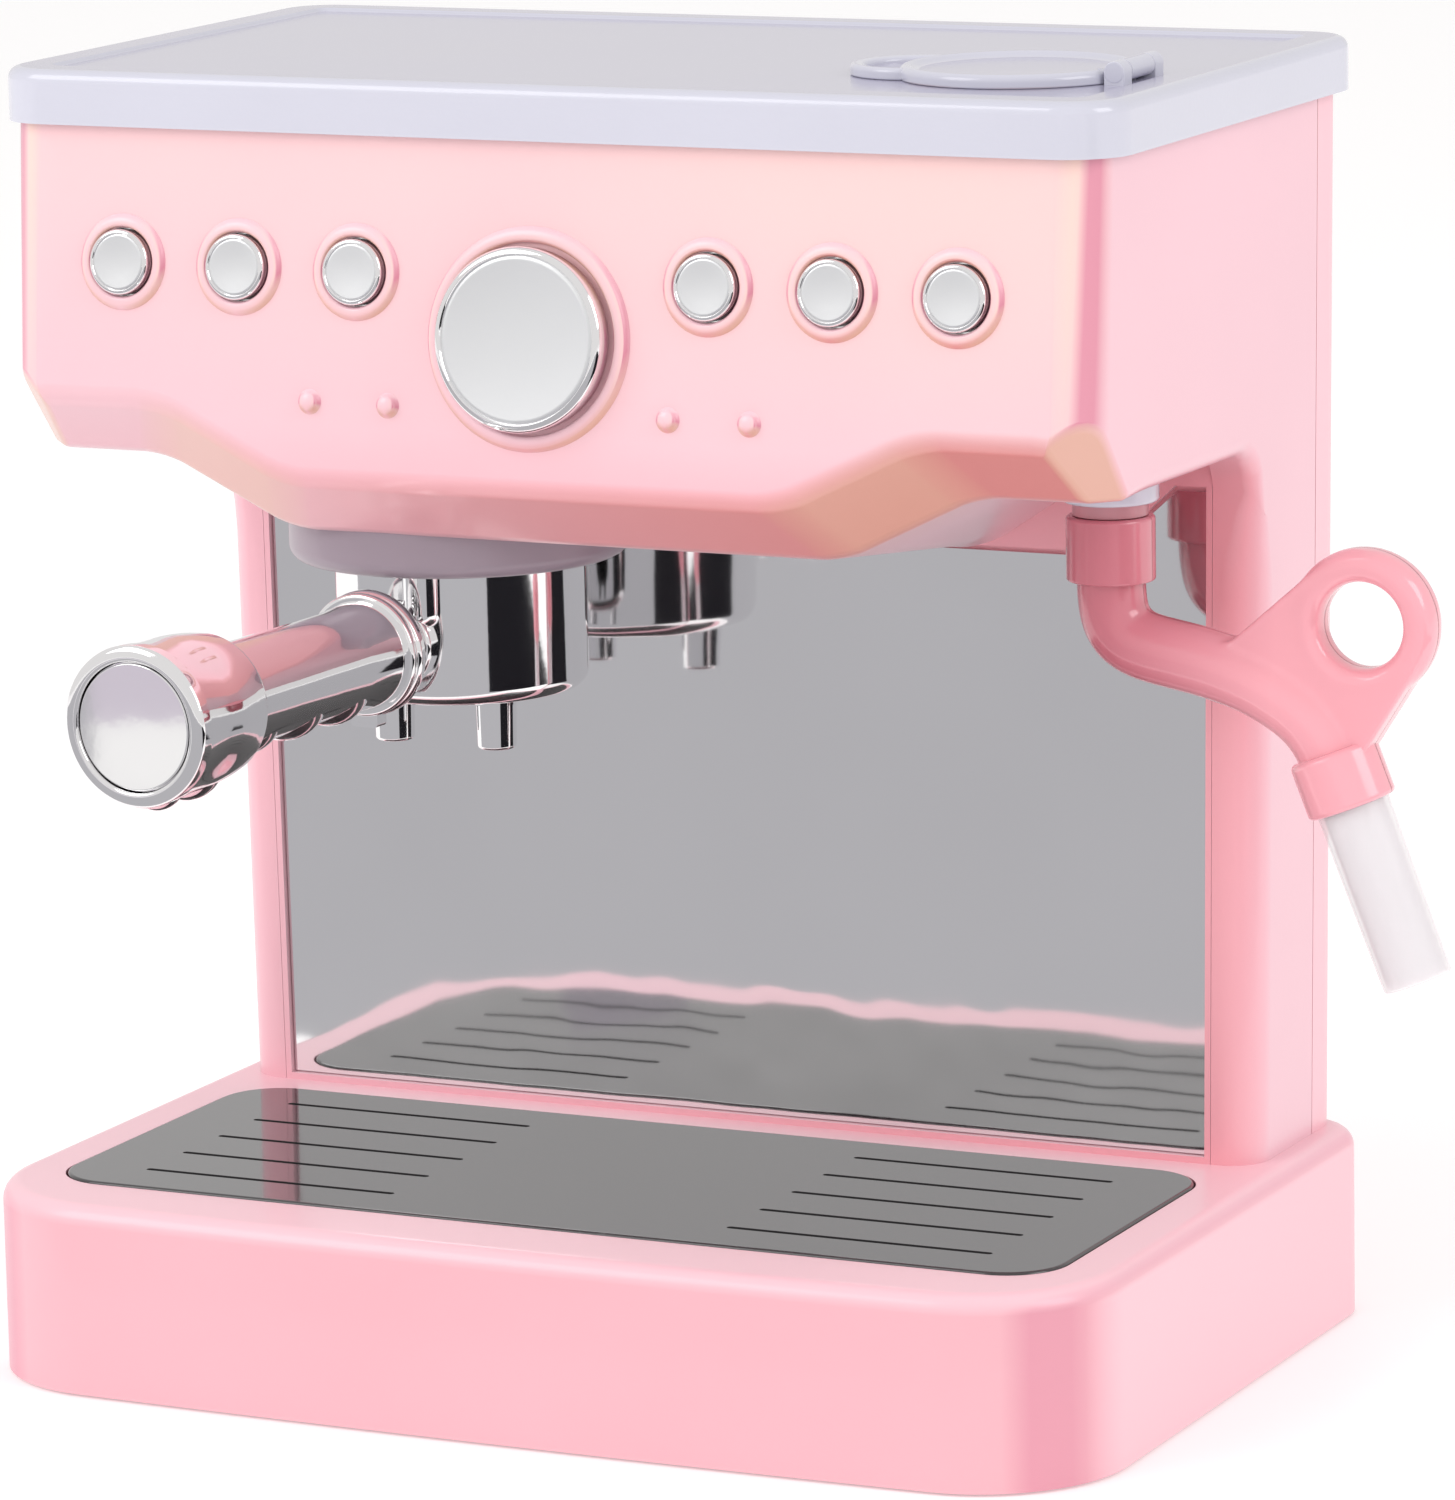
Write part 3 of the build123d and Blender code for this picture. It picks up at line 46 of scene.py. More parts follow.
camera_data.lens = 189.945
camera_data.shift_x = 0.03782
camera_data.shift_y = 0.00632
camera_data.clip_end = 20.0
camera = bpy.data.objects.new("camera", camera_data)
camera_back = Vector((0.430381, -0.881810, 0.192842))
camera_turn = Quaternion((0, 0, 1), math.radians(-1.234))
camera.rotation_mode = "QUATERNION"
camera.location = Vector((0.0074332, -0.0104938, 0.1220461)) + camera_back * 1.5582046
camera.rotation_quaternion = (-camera_back).to_track_quat("-Z", "Y") @ camera_turn
scene = bpy.context.scene
scene.collection.objects.link(camera)
scene.camera = camera
scene.view_settings.view_transform = "Standard"


# ---- Studio ----
# A pale floor under a white room, two wide soft lamps, and a few cards that only mirror-bright
# parts see: the dark ones draw the black bands in the plating.
def new_material(name):
    """A new material, its nodes, its links and its Principled shader."""
    material = bpy.data.materials.new(name)
    material.use_nodes = True
    tree = material.node_tree
    return material, tree.nodes, tree.links, tree.nodes["Principled BSDF"]


def set_inputs(node, **values):
    """Sets input sockets by name, with an underscore in place of each space."""
    for socket, value in values.items():
        node.inputs[socket.replace("_", " ")].default_value = value


def add_object(name, bm):
    """Makes an object in the scene from a bmesh, and frees the bmesh."""
    mesh = bpy.data.meshes.new(name)
    bm.to_mesh(mesh)
    bm.free()
    made = bpy.data.objects.new(name, mesh)
    scene.collection.objects.link(made)
    return made


def moved(bm, place):
    """Moves a whole bmesh by a matrix and gives it back."""
    bmesh.ops.transform(bm, matrix=place, verts=bm.verts)
    return bm


def glowing(name, colour, strength):
    """A plain emission material for cards."""
    material, nodes, links, _ = new_material(name)
    glow = nodes.new("ShaderNodeEmission")
    set_inputs(glow, Color=(*colour, 1), Strength=strength)
    links.new(glow.outputs[0], nodes["Material Output"].inputs["Surface"])
    return material


def studio_card(name, centre, size, turn, colour, tilt=90.0):
    """A flat card that is seen only in reflections."""
    bm = bmesh.new()
    bmesh.ops.create_grid(bm, x_segments=1, y_segments=1, size=0.5)
    bmesh.ops.scale(bm, vec=(size[0], size[1], 1), verts=bm.verts)
    place = Matrix.Translation(centre) @ Matrix.Rotation(math.radians(turn), 4, "Z")
    place = place @ Matrix.Rotation(math.radians(tilt), 4, "X")
    card = add_object(name, moved(bm, place))
    card.data.materials.append(glowing(name, colour, 1.0))
    card.visible_camera = False
    card.visible_diffuse = False
    card.visible_shadow = False
    card.visible_transmission = False


bm = bmesh.new()
bmesh.ops.create_circle(bm, cap_ends=True, segments=96, radius=6.0)
floor = add_object("studio_floor", bm)
material, nodes, links, shader = new_material("studio_floor")
set_inputs(shader, Base_Color=(0.84, 0.835, 0.835, 1), Roughness=0.6)
lift = nodes.new("ShaderNodeEmission")
set_inputs(lift, Strength=0.27)
both = nodes.new("ShaderNodeAddShader")
links.new(shader.outputs[0], both.inputs[0])
links.new(lift.outputs[0], both.inputs[1])
links.new(both.outputs[0], nodes["Material Output"].inputs["Surface"])
floor.data.materials.append(material)

scene.world = bpy.data.worlds.new("studio")
scene.world.use_nodes = True
nodes, links = scene.world.node_tree.nodes, scene.world.node_tree.links
set_inputs(nodes["Background"], Color=(1.0, 0.985, 0.98, 1), Strength=0.80)
backdrop = nodes.new("ShaderNodeBackground")
set_inputs(backdrop, Color=(1, 1, 1, 1))
ray = nodes.new("ShaderNodeLightPath")
either = nodes.new("ShaderNodeMath")
either.operation = "MAXIMUM"
pick = nodes.new("ShaderNodeMixShader")
links.new(ray.outputs["Is Camera Ray"], either.inputs[0])
links.new(ray.outputs["Is Transmission Ray"], either.inputs[1])
links.new(either.outputs[0], pick.inputs["Fac"])
links.new(nodes["Background"].outputs[0], pick.inputs[1])
links.new(backdrop.outputs[0], pick.inputs[2])
links.new(pick.outputs[0], nodes["World Output"].inputs["Surface"])

lamp_aim = Vector((0, 0, 0.14))
lamps = (("left_lamp", (-1.2, -1.3, 1.5), 1.2, 11.0),
         ("right_lamp", (1.7, -0.2, 1.1), 1.0, 8.8),
         ("low_fill", (-0.6, -1.6, 0.95), 0.8, 5.0))
for name, place, size, power in lamps:
    lamp_data = bpy.data.lights.new(name, "AREA")
    lamp_data.shape = "SQUARE"
    lamp_data.size = size
    lamp_data.energy = power
    lamp = bpy.data.objects.new(name, lamp_data)
    lamp.visible_glossy = name != "low_fill"
    lamp.location = place
    lamp.rotation_mode = "QUATERNION"
    lamp.rotation_quaternion = (lamp_aim - Vector(place)).to_track_quat("-Z", "Y")
    scene.collection.objects.link(lamp)

end_card_turn = -33.4
studio_card("grey_card", (0.0, -1.45, 0.0006), (3.2, 2.6), 0, (0.49, 0.483, 0.505), tilt=0)
studio_card("dark_card", (1.27, -0.70, 0.0010), (2.2, 0.62), -40, (0.013, 0.012, 0.015), tilt=0)
studio_card("white_end_card", (-0.222, -0.364, 0.0812), (0.034, 0.0196), end_card_turn, (0.98, 0.97, 0.96))
studio_card("lilac_end_card", (-0.222, -0.364, 0.1065), (0.034, 0.031), end_card_turn, (0.66, 0.60, 0.68))


# ---- Base ----
# The foot of the machine, one pearl pink moulding with a bowed front and wide front corners.
# A rounded recess in its top holds the drip plate, and its wall is open underneath.
def effect_group(name, inputs, outputs):
    """A shader node group with its named sockets, and its input and output nodes."""
    group = bpy.data.node_groups.new(name, "ShaderNodeTree")
    for socket, kind, value in inputs:
        made = group.interface.new_socket(socket, in_out="INPUT", socket_type="NodeSocket" + kind)
        made.default_value = value
    for socket, kind in outputs:
        group.interface.new_socket(socket, in_out="OUTPUT", socket_type="NodeSocket" + kind)
    return group, group.nodes.new("NodeGroupInput"), group.nodes.new("NodeGroupOutput")


def sum_node(tree, operation, *values, clamp=False):
    """A Math node fed by sockets or numbers; gives its output socket."""
    node = tree.nodes.new("ShaderNodeMath")
    node.operation = operation
    node.use_clamp = clamp
    for slot, value in enumerate(values):
        if isinstance(value, bpy.types.NodeSocket):
            tree.links.new(value, node.inputs[slot])
        else:
            node.inputs[slot].default_value = value
    return node.outputs[0]


def product(tree, first, *others, clamp=False):
    """Multiplies sockets or numbers in turn; clamp holds only the last product to 0 to 1."""
    for value in others:
        first = sum_node(tree, "MULTIPLY", first, value)
    first.node.use_clamp = clamp
    return first


def ramp(tree, value, slope, start):
    """A straight ramp over a socket, held between 0 and 1."""
    return sum_node(tree, "MULTIPLY_ADD", value, slope, start, clamp=True)


def mix_node(tree, factor, first, second):
    """A colour Mix node fed by sockets or colours; gives its output socket."""
    node = tree.nodes.new("ShaderNodeMix")
    node.data_type = "RGBA"
    for slot, value in (("Factor", factor), ("A", first), ("B", second)):
        target = [s for s in node.inputs if s.name == slot and s.enabled][0]
        if isinstance(value, bpy.types.NodeSocket):
            tree.links.new(value, target)
        else:
            target.default_value = (*value, 1)
    return [s for s in node.outputs if s.enabled][0]


# Fine moulded grain, as a height and as small changes of gloss and of shade.
grain_group, grain_in, grain_out = effect_group(
    "moulded_grain",
    [("Scale", "Float", 900.0), ("Roughness", "Float", 0.3), ("Change", "Float", 0.06)],
    [("Height", "Float"), ("Roughness", "Float"), ("Shade", "Float")])
spot = grain_group.nodes.new("ShaderNodeTexCoord")
fine = grain_group.nodes.new("ShaderNodeTexNoise")
set_inputs(fine, Detail=3.0)
broad = grain_group.nodes.new("ShaderNodeTexNoise")
set_inputs(broad, Scale=22.0)
for noise in (fine, broad):
    grain_group.links.new(spot.outputs["Object"], noise.inputs["Vector"])
grain_group.links.new(grain_in.outputs["Scale"], fine.inputs["Scale"])
centred = sum_node(grain_group, "SUBTRACT", broad.outputs["Fac"], 0.5)
change, gloss = grain_in.outputs["Change"], grain_in.outputs["Roughness"]
gloss = sum_node(grain_group, "MULTIPLY_ADD", centred, change, gloss)
grain_group.links.new(fine.outputs["Fac"], grain_out.inputs["Height"])
grain_group.links.new(gloss, grain_out.inputs["Roughness"])
grain_group.links.new(broad.outputs["Fac"], grain_out.inputs["Shade"])

# Rubbed edges: a mask that rises where the surface turns over an outer edge.
edge_group, edge_in, edge_out = effect_group(
    "rubbed_edge", [("Width", "Float", 0.001), ("Amount", "Float", 0.3)], [("Mask", "Float")])
softened = edge_group.nodes.new("ShaderNodeBevel")
softened.samples = 4
plain = edge_group.nodes.new("ShaderNodeNewGeometry")
agree = edge_group.nodes.new("ShaderNodeVectorMath")
agree.operation = "DOT_PRODUCT"
edge_group.links.new(edge_in.outputs["Width"], softened.inputs["Radius"])
edge_group.links.new(softened.outputs[0], agree.inputs[0])
edge_group.links.new(plain.outputs["Normal"], agree.inputs[1])
turned_away = sum_node(edge_group, "SUBTRACT", 1.0, agree.outputs["Value"])
steep = sum_node(edge_group, "MULTIPLY", turned_away, 7.0, clamp=True)
edge_group.links.new(product(edge_group, steep, edge_in.outputs["Amount"]), edge_out.inputs["Mask"])

# Pearl and painted light: each tint has a mask made from the way the surface faces and from its
# place, and the masks paint the pearl's sheen and the light and shade on it. Amount scales the
# masks, and Low brings the painted lilac and the painted paler flanks below the head.
pearl_light_group, pearl_in, pearl_out = effect_group(
    "pearl_painted_light",
    [("Base", "Color", (0.95, 0.52, 0.58, 1)), ("Warm", "Color", (0.92, 0.64, 0.56, 1)),
     ("Lilac", "Color", (0.72, 0.265, 0.355, 1)), ("Tan", "Color", (0.72, 0.27, 0.26, 1)),
     ("Gold", "Color", (0.70, 0.41, 0.29, 1)), ("Pale", "Color", (1.0, 0.65, 0.72, 1)),
     ("Deep", "Color", (0.875, 0.455, 0.514, 1)), ("Amount", "Float", 1.0), ("Low", "Float", 0.0)],
    [("Color", "Color")])
tree = pearl_light_group
facing = tree.nodes.new("ShaderNodeNewGeometry")
spot = tree.nodes.new("ShaderNodeTexCoord")
cloud = tree.nodes.new("ShaderNodeTexNoise")
set_inputs(cloud, Scale=11.0)
turn = tree.nodes.new("ShaderNodeSeparateXYZ")
point = tree.nodes.new("ShaderNodeSeparateXYZ")
climb = tree.nodes.new("ShaderNodeMapRange")
climb.interpolation_type = "SMOOTHSTEP"
set_inputs(climb, From_Min=0.17, From_Max=0.25)
tree.links.new(facing.outputs["Normal"], turn.inputs[0])
tree.links.new(spot.outputs["Object"], point.inputs[0])
tree.links.new(spot.outputs["Object"], cloud.inputs["Vector"])
tree.links.new(point.outputs["Z"], climb.inputs["Value"])
amount, low = pearl_in.outputs["Amount"], pearl_in.outputs["Low"]
place_x, place_y, place_z = (point.outputs[axis] for axis in "XYZ")

# How far the surface faces the front, down or sideways, and how far ahead and up it is.
to_front = sum_node(tree, "MULTIPLY", turn.outputs["Y"], -1.0, clamp=True)
leaning = sum_node(tree, "MULTIPLY", turn.outputs["Z"], -1.0, clamp=True)
leaned = ramp(tree, leaning, -4.0, 1.0)
sideways = sum_node(tree, "ABSOLUTE", turn.outputs["X"])
diagonal = sum_node(tree, "ABSOLUTE", product(tree, turn.outputs["X"], turn.outputs["Y"]))
ahead = ramp(tree, place_y, -60.0, -1.2)
above = sum_node(tree, "MAXIMUM", ramp(tree, place_z, 80.0, -14.4), low)
drift = sum_node(tree, "MULTIPLY_ADD", cloud.outputs["Fac"], 0.9, 0.35)

# The masks, each painted light: a peach sheen ahead, a lilac sheen and a painted warm highlight round
# upright corners, painted tan shade and gold sheen where the surface leans down, and painted light
# where it faces up.
across = ramp(tree, place_x, 2.2, 0.62)
# Painted sheen and highlight: peach on front faces, stronger high up and to the right.
warm = product(tree, to_front, climb.outputs[0], across, drift, amount, clamp=True)
bands = []
# Painted sheen round upright corners: a lilac band, and a band of painted warm highlight nearer the front.
for peak, width, gain in ((0.75, 0.25, 1.6), (0.43, 0.24, 1.0)):
    away = sum_node(tree, "ABSOLUTE", sum_node(tree, "SUBTRACT", sideways, peak))
    band = ramp(tree, away, -gain / width, gain)
    bands.append(product(tree, band, above, leaned, amount, clamp=True))
corner, painted_corner_highlight = bands
painted_corner_highlight = product(tree, painted_corner_highlight, climb.outputs[0])
# Painted shade: tan on front faces that lean down, light on the left and darker to the right.
shaded = ramp(tree, place_x, 6.0, 0.55)
under = product(tree, to_front, leaning, 2.0, ahead, shaded, amount, clamp=True)
# Painted sheen: gold on the front faces that lean down and sideways.
painted_facet_sheen = product(tree, diagonal, leaning, ahead, 4.0, clamp=True)
# Painted light: faces that look up turn paler, and with Low so do the side faces below the head.
painted_top_light = product(tree, turn.outputs["Z"], amount, clamp=True)
flank = product(tree, ramp(tree, sideways, 5.0, -4.5), low)
painted_top_light = sum_node(tree, "MAXIMUM", painted_top_light, flank)
# Painted shade: front faces below the head take the deep colour, more so to the right.
below = sum_node(tree, "SUBTRACT", 1.0, above)
below = product(tree, below, to_front, amount, clamp=True)
below = product(tree, below, ramp(tree, place_x, 3.0, 0.7))
shade = pearl_in.outputs["Base"]
for mask, tint in ((below, "Deep"), (warm, "Warm"), (painted_corner_highlight, "Warm"), (corner, "Lilac"), (under, "Tan"),
                   (painted_facet_sheen, "Gold"), (painted_top_light, "Pale")):
    shade = mix_node(tree, mask, shade, pearl_in.outputs[tint])
tree.links.new(shade, pearl_out.inputs["Color"])


def group_node(tree, group, **values):
    """A node for a shader node group, with values for its sockets."""
    node = tree.nodes.new("ShaderNodeGroup")
    node.node_tree = group
    set_inputs(node, **values)
    return node


def grained(name, colour, darker, bump_depth, strength, **values):
    """A material with the moulded grain; gives it, its shader and its shaded colour."""
    material, nodes, links, shader = new_material(name)
    texture = group_node(material.node_tree, grain_group, **values)
    bump = nodes.new("ShaderNodeBump")
    set_inputs(bump, Distance=bump_depth, Strength=strength)
    links.new(texture.outputs["Height"], bump.inputs["Height"])
    links.new(bump.outputs[0], shader.inputs["Normal"])
    links.new(texture.outputs["Roughness"], shader.inputs["Roughness"])
    shade = [darker * c for c in colour]
    return material, shader, mix_node(material.node_tree, texture.outputs["Shade"], shade, colour)


def moulded(name, colour, roughness=0.3, grain=0.00004, scale=900.0, coat=0.3, edge=0.15, metal=0.0):
    """Moulded plastic or turned metal: fine grain, uneven gloss and paler rubbed edges."""
    material, shader, body = grained(name, colour, 0.93, grain, 0.6, Scale=scale, Roughness=roughness)
    tree = material.node_tree
    wear = group_node(tree, edge_group, Amount=edge)
    rubbed = [0.4 + 0.6 * c for c in colour]
    body = mix_node(tree, wear.outputs["Mask"], body, rubbed)
    tree.links.new(body, shader.inputs["Base Color"])
    set_inputs(shader, Metallic=metal, Coat_Weight=coat, Coat_Roughness=0.12)
    return material


def painted_pearl(name, colour, roughness, amount=1.0, coat=0.35, under_head_shade=(0.875, 0.455, 0.514), low=0.0):
    """Pearl plastic: moulded plastic whose colour comes from the pearl group, which paints its sheen, light
    and shade.
    """
    material = moulded(name, colour, roughness, coat=coat)
    tree = material.node_tree
    pearl = group_node(tree, pearl_light_group, Amount=amount, Deep=(*under_head_shade, 1), Low=low)
    shader = tree.nodes["Principled BSDF"]
    tree.links.new(shader.inputs["Base Color"].links[0].from_socket, pearl.inputs["Base"])
    tree.links.new(pearl.outputs["Color"], shader.inputs["Base Color"])
    return material


def finished(name, bm, materials, body, slot, *nodes, smooth=35.0, wall=0.0):
    """Makes the piece that rides a body and stands for CAD nodes."""
    for face in bm.faces:
        face.smooth = True
    for edge in bm.edges:
        edge.smooth = edge.is_manifold and edge.calc_face_angle() < math.radians(smooth)
    piece = add_object(name, bm)
    for material in materials:
        piece.data.materials.append(material)
    if wall:
        shell = piece.modifiers.new("wall", "SOLIDIFY")
        shell.thickness = wall
        shell.offset = -1.0
    even = piece.modifiers.new("even_shading", "WEIGHTED_NORMAL")
    even.keep_sharp = True
    even.weight = 90
    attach(piece, body)
    if nodes:
        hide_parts(*nodes)


def new_verts(result):
    return [g for g in result["geom"] if isinstance(g, bmesh.types.BMVert)]


def rounded(bm, geom, offset, segments, affect="EDGES"):
    """Rounds edges, or the corners of a flat face."""
    bmesh.ops.bevel(bm, geom=geom, offset=offset, segments=segments, affect=affect, profile=0.5, material=-1)


def rounded_plan(bm, width, front, back, z, front_corner, back_corner, segments=12):
    """Adds a flat face with rounded corners, seen from above."""
    made = bmesh.ops.create_grid(bm, x_segments=1, y_segments=1, size=0.5)["verts"]
    middle = (front + back) / 2
    bmesh.ops.scale(bm, vec=(width, back - front, 1), verts=made)
    bmesh.ops.translate(bm, vec=(0, middle, z), verts=made)
    near = [v for v in made if v.co.y < middle]
    far = [v for v in made if v.co.y > middle]
    for corners, radius in ((near, front_corner), (far, back_corner)):
        rounded(bm, corners, radius, segments, "VERTICES")
    return bm


def extruded(bm, vec):
    """Extrudes all the faces along a vector and turns the normals outwards."""
    raised = bmesh.ops.extrude_face_region(bm, geom=bm.faces[:])
    bmesh.ops.translate(bm, vec=vec, verts=new_verts(raised))
    bmesh.ops.recalc_face_normals(bm, faces=bm.faces)
    return bm


def top_face(bm):
    return max(bm.faces, key=lambda f: f.calc_center_median().z)


def open_below(bm):
    """Removes the lowest face, so that the piece is open underneath."""
    bottom = min(bm.faces, key=lambda f: f.calc_center_median().z)
    bmesh.ops.delete(bm, geom=[bottom], context="FACES_ONLY")
    bmesh.ops.recalc_face_normals(bm, faces=bm.faces)


def add_shape(bm, shape, place=Matrix()):
    """Adds another bmesh to this one, moved to its place, and gives its new vertices."""
    moved(shape, place)
    mesh = bpy.data.meshes.new("shape")
    shape.to_mesh(mesh)
    shape.free()
    before = set(bm.verts)
    bm.from_mesh(mesh)
    bpy.data.meshes.remove(mesh)
    return [v for v in bm.verts if v not in before]


def open_holes(bm, face, *rings):
    """Refills a flat face round hole rings, and gives the edges of the rings."""
    outer = list(face.edges)
    bmesh.ops.delete(bm, geom=[face], context="FACES_ONLY")
    edges = []
    for ring in rings:
        verts = add_shape(bm, ring)
        edges += list({e for v in verts for e in v.link_edges})
    faces = [f for e in edges for f in e.link_faces]
    bmesh.ops.delete(bm, geom=list(set(faces)), context="FACES_ONLY")
    bmesh.ops.triangle_fill(bm, edges=outer + edges, use_beauty=True, use_dissolve=False)
    return edges


base_front, base_half, base_low, base_height = -0.0791, 0.120, 0.0006, 0.0388
wide_corner, base_bow, recess_corner, recess_depth, shell_wall = 0.028, 0.0024, 0.0124, 0.0022, 0.0022
bm = rounded_plan(bmesh.new(), 2 * base_half, base_front, -base_front, base_low, wide_corner, 0.012,
                  segments=16)
straight = [e for e in bm.edges if all(abs(v.co.y - base_front) < 1e-6 for v in e.verts)]
bmesh.ops.subdivide_edges(bm, edges=straight, cuts=19)
for vert in bm.verts:
    if vert.co.y < base_front + wide_corner:
        bow = base_bow * (1 - (vert.co.x / base_half) ** 2)
        vert.co.y -= bow * (base_front + wide_corner - vert.co.y) / wide_corner
extruded(bm, (0, 0, base_height - base_low))
rounded(bm, list(top_face(bm).edges), 0.004, 6)
recess_plan = rounded_plan(bmesh.new(), 0.2168, -0.0627, 0.0233, base_height, recess_corner, recess_corner)
recess = open_holes(bm, top_face(bm), recess_plan)
lowered = bmesh.ops.extrude_edge_only(bm, edges=recess)
bmesh.ops.translate(bm, vec=(0, 0, -recess_depth), verts=new_verts(lowered))
open_below(bm)
# Low brings the painted lilac corners and the painted paler flanks onto the base, and its upward faces take
# painted light.
pearl_pink = painted_pearl("pearl_pink", (0.875, 0.455, 0.514), 0.34, amount=0.8, coat=0.25, low=0.9)
finished("base_moulding", bm, [pearl_pink], "housing", "pink_shell", "base_shell", wall=shell_wall)


def refinish(material, *names):
    """Gives kept CAD nodes their finish."""
    for name in names:
        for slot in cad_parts[name].material_slots:
            slot.material = material


refinish(pearl_pink, "base_bottom", "battery_door", "rear_cover")


# ---- Housing ----
# One pearl moulding: the leaning front panel with its stepped lower edge, the sides that run
# down as columns beside the mirror, and the belly under the head.
head_top, lip_side, lip_middle = 0.256, 0.1952, 0.1817
lip_rear, belly_end, column_front, side_rear = -0.0411, 0.0233, 0.0313, 0.0619
column_inner, belly_low, belly_rise = 0.1067, 0.1694, 0.0135
# Vertices above the first height belong to the top, and those beyond the second to the sides.
top_from, side_from = 0.25, 0.11


def panel_y(z):
    return -0.0518 + 0.115 * (z - 0.2223)


def side_x(z):
    return 0.1163 - 0.012 * (head_top - z)


def shift_ring(bm, edges, place):
    """Extrudes edges and moves each new vertex to the place that the rule gives."""
    for vert in new_verts(bmesh.ops.extrude_edge_only(bm, edges=edges)):
        x, y, z = place(abs(vert.co.x), vert.co.y, vert.co.z)
        vert.co = (math.copysign(x, vert.co.x), y, z)


def at_lip(x, y, z):
    """From the panel's outline to the rear edge of the bevelled lip."""
    if z > top_from:
        return x, lip_rear, z
    low = z - 0.0123
    if x > side_from:
        return side_x(low), lip_rear, low
    return x + 0.0068, lip_rear, low


def along_belly(share):
    """From the lip's rear edge towards the rear of the belly."""
    def place(x, y, z):
        new_y = y + share * (column_front - lip_rear)
        if z > top_from:
            return x, new_y, z
        rise = (z - belly_low) / belly_rise
        low = z - share * (0.0007 + 0.0081 * (1 - rise))
        if x > side_from:
            return side_x(low), new_y, low
        return min(x + share * (-0.002 + 0.0055 * rise), column_inner), new_y, low
    return place


def at_y(vert, y, reach=1e-5):
    return abs(vert.co.y - y) < reach


def beyond(vert, x):
    return abs(vert.co.x) > x


def height_of(edge):
    return abs(edge.verts[0].co.z - edge.verts[1].co.z)


def open_edges(bm):
    return [e for e in bm.edges if len(e.link_faces) == 1]


def joining_edges(bm):
    return [e for e in bm.edges if len(e.link_faces) == 2]


def face_forwards(bm, level):
    """Turns the faces outwards, so that the panel faces the front."""
    bmesh.ops.recalc_face_normals(bm, faces=bm.faces)
    panel = max((f for f in bm.faces if abs(f.normal.y) > level), key=lambda f: f.calc_area())
    if panel.normal.y > 0:
        bmesh.ops.reverse_faces(bm, faces=bm.faces)


def from_modifiers(rough):
    """Gives the bmesh of an object with its modifiers applied, and removes the object."""
    bpy.context.view_layer.update()
    applied = bpy.data.meshes.new_from_object(rough.evaluated_get(bpy.context.evaluated_depsgraph_get()))
    bm = bmesh.new()
    bm.from_mesh(applied)
    bpy.data.objects.remove(rough)
    bpy.data.meshes.remove(applied)
    return bm


# The panel's outline, its lip and the belly behind it, each drawn from the edges before it.
right = [(side_x(head_top), head_top), (side_x(lip_side), lip_side), (0.0805, lip_side), (0.0525, lip_middle)]
outline = [(-x, z) for x, z in right] + [(x, z) for x, z in reversed(right)]
bm = bmesh.new()
bm.faces.new([bm.verts.new((x, panel_y(z), z)) for x, z in outline])
knees = [v for v in bm.verts if not beyond(v, 0.1)]
rounded(bm, knees, 0.005, 6, "VERTICES")
shift_ring(bm, [e for e in bm.edges if min(v.co.z for v in e.verts) < top_from], at_lip)
shift_ring(bm, [e for e in open_edges(bm) if all(at_y(v, lip_rear) for v in e.verts)], along_belly(0.8895))
seams = [e for e in bm.edges if all(beyond(v, side_from) and at_y(v, lip_rear) for v in e.verts)]
bmesh.ops.dissolve_edges(bm, edges=seams, use_verts=False)
uprights = [e for e in bm.edges
            if all(beyond(v, side_from) and at_y(v, panel_y(v.co.z)) for v in e.verts)]
rounded(bm, uprights, 0.011, 8)
for side in (-1, 1):
    goal = Vector((side * (side_x(lip_side) - 0.0085), panel_y(lip_side), lip_side))
    through = min(bm.verts, key=lambda v: (v.co - goal).length).co.copy()
    cut = bmesh.ops.bisect_plane(bm, geom=bm.verts[:] + bm.edges[:] + bm.faces[:], dist=1e-5,
                                 clear_outer=True, plane_co=through, plane_no=(side * 0.663, -0.574, -0.482))
    rim = [g for g in cut["geom_cut"] if isinstance(g, bmesh.types.BMEdge)]
    bmesh.ops.edgeloop_fill(bm, edges=[e for e in rim if len(e.link_faces) == 1])

# The belly's rear edge, split where the columns begin. Its middle goes on to the mirror, and
# its outer parts turn down into the columns round a bend.
bend = 0.008
rear_sides = [v for v in bm.verts if beyond(v, side_from) and v.co.z < 0.2 and at_y(v, belly_end, 1e-4)]
side_low = max(v.co.z for v in rear_sides)
column_top = side_low - bend
rear = [e for e in open_edges(bm) if all(v.co.y > 0.02 for v in e.verts)]
crossing = [e for e in rear
            if min(abs(v.co.x) for v in e.verts) < column_inner < max(abs(v.co.x) for v in e.verts)]
for edge in crossing:
    near, far = sorted(edge.verts, key=lambda v: abs(v.co.x))
    split = (column_inner - abs(near.co.x)) / (abs(far.co.x) - abs(near.co.x))
    rear.append(bmesh.utils.edge_split(edge, near, split)[0])
inner = [e for e in rear if not any(beyond(v, column_inner + 0.0008) for v in e.verts)]
flank = [e for e in rear if height_of(e) > 0.05]
outer = [e for e in rear if e not in inner and e not in flank]
shift_ring(bm, inner, along_belly(0.1105))
shift_ring(bm, flank, lambda x, y, z: (x, side_rear, z))
bmesh.ops.spin(bm, geom=outer + [v for e in outer for v in e.verts], cent=(0, belly_end, column_top),
               axis=(1, 0, 0), angle=-math.pi / 2, steps=5)
feet = [e for e in open_edges(bm) if all(abs(v.co.z - column_top) < 2e-4 for v in e.verts)
        and abs(e.verts[0].co.x - e.verts[1].co.x) > 0.004]
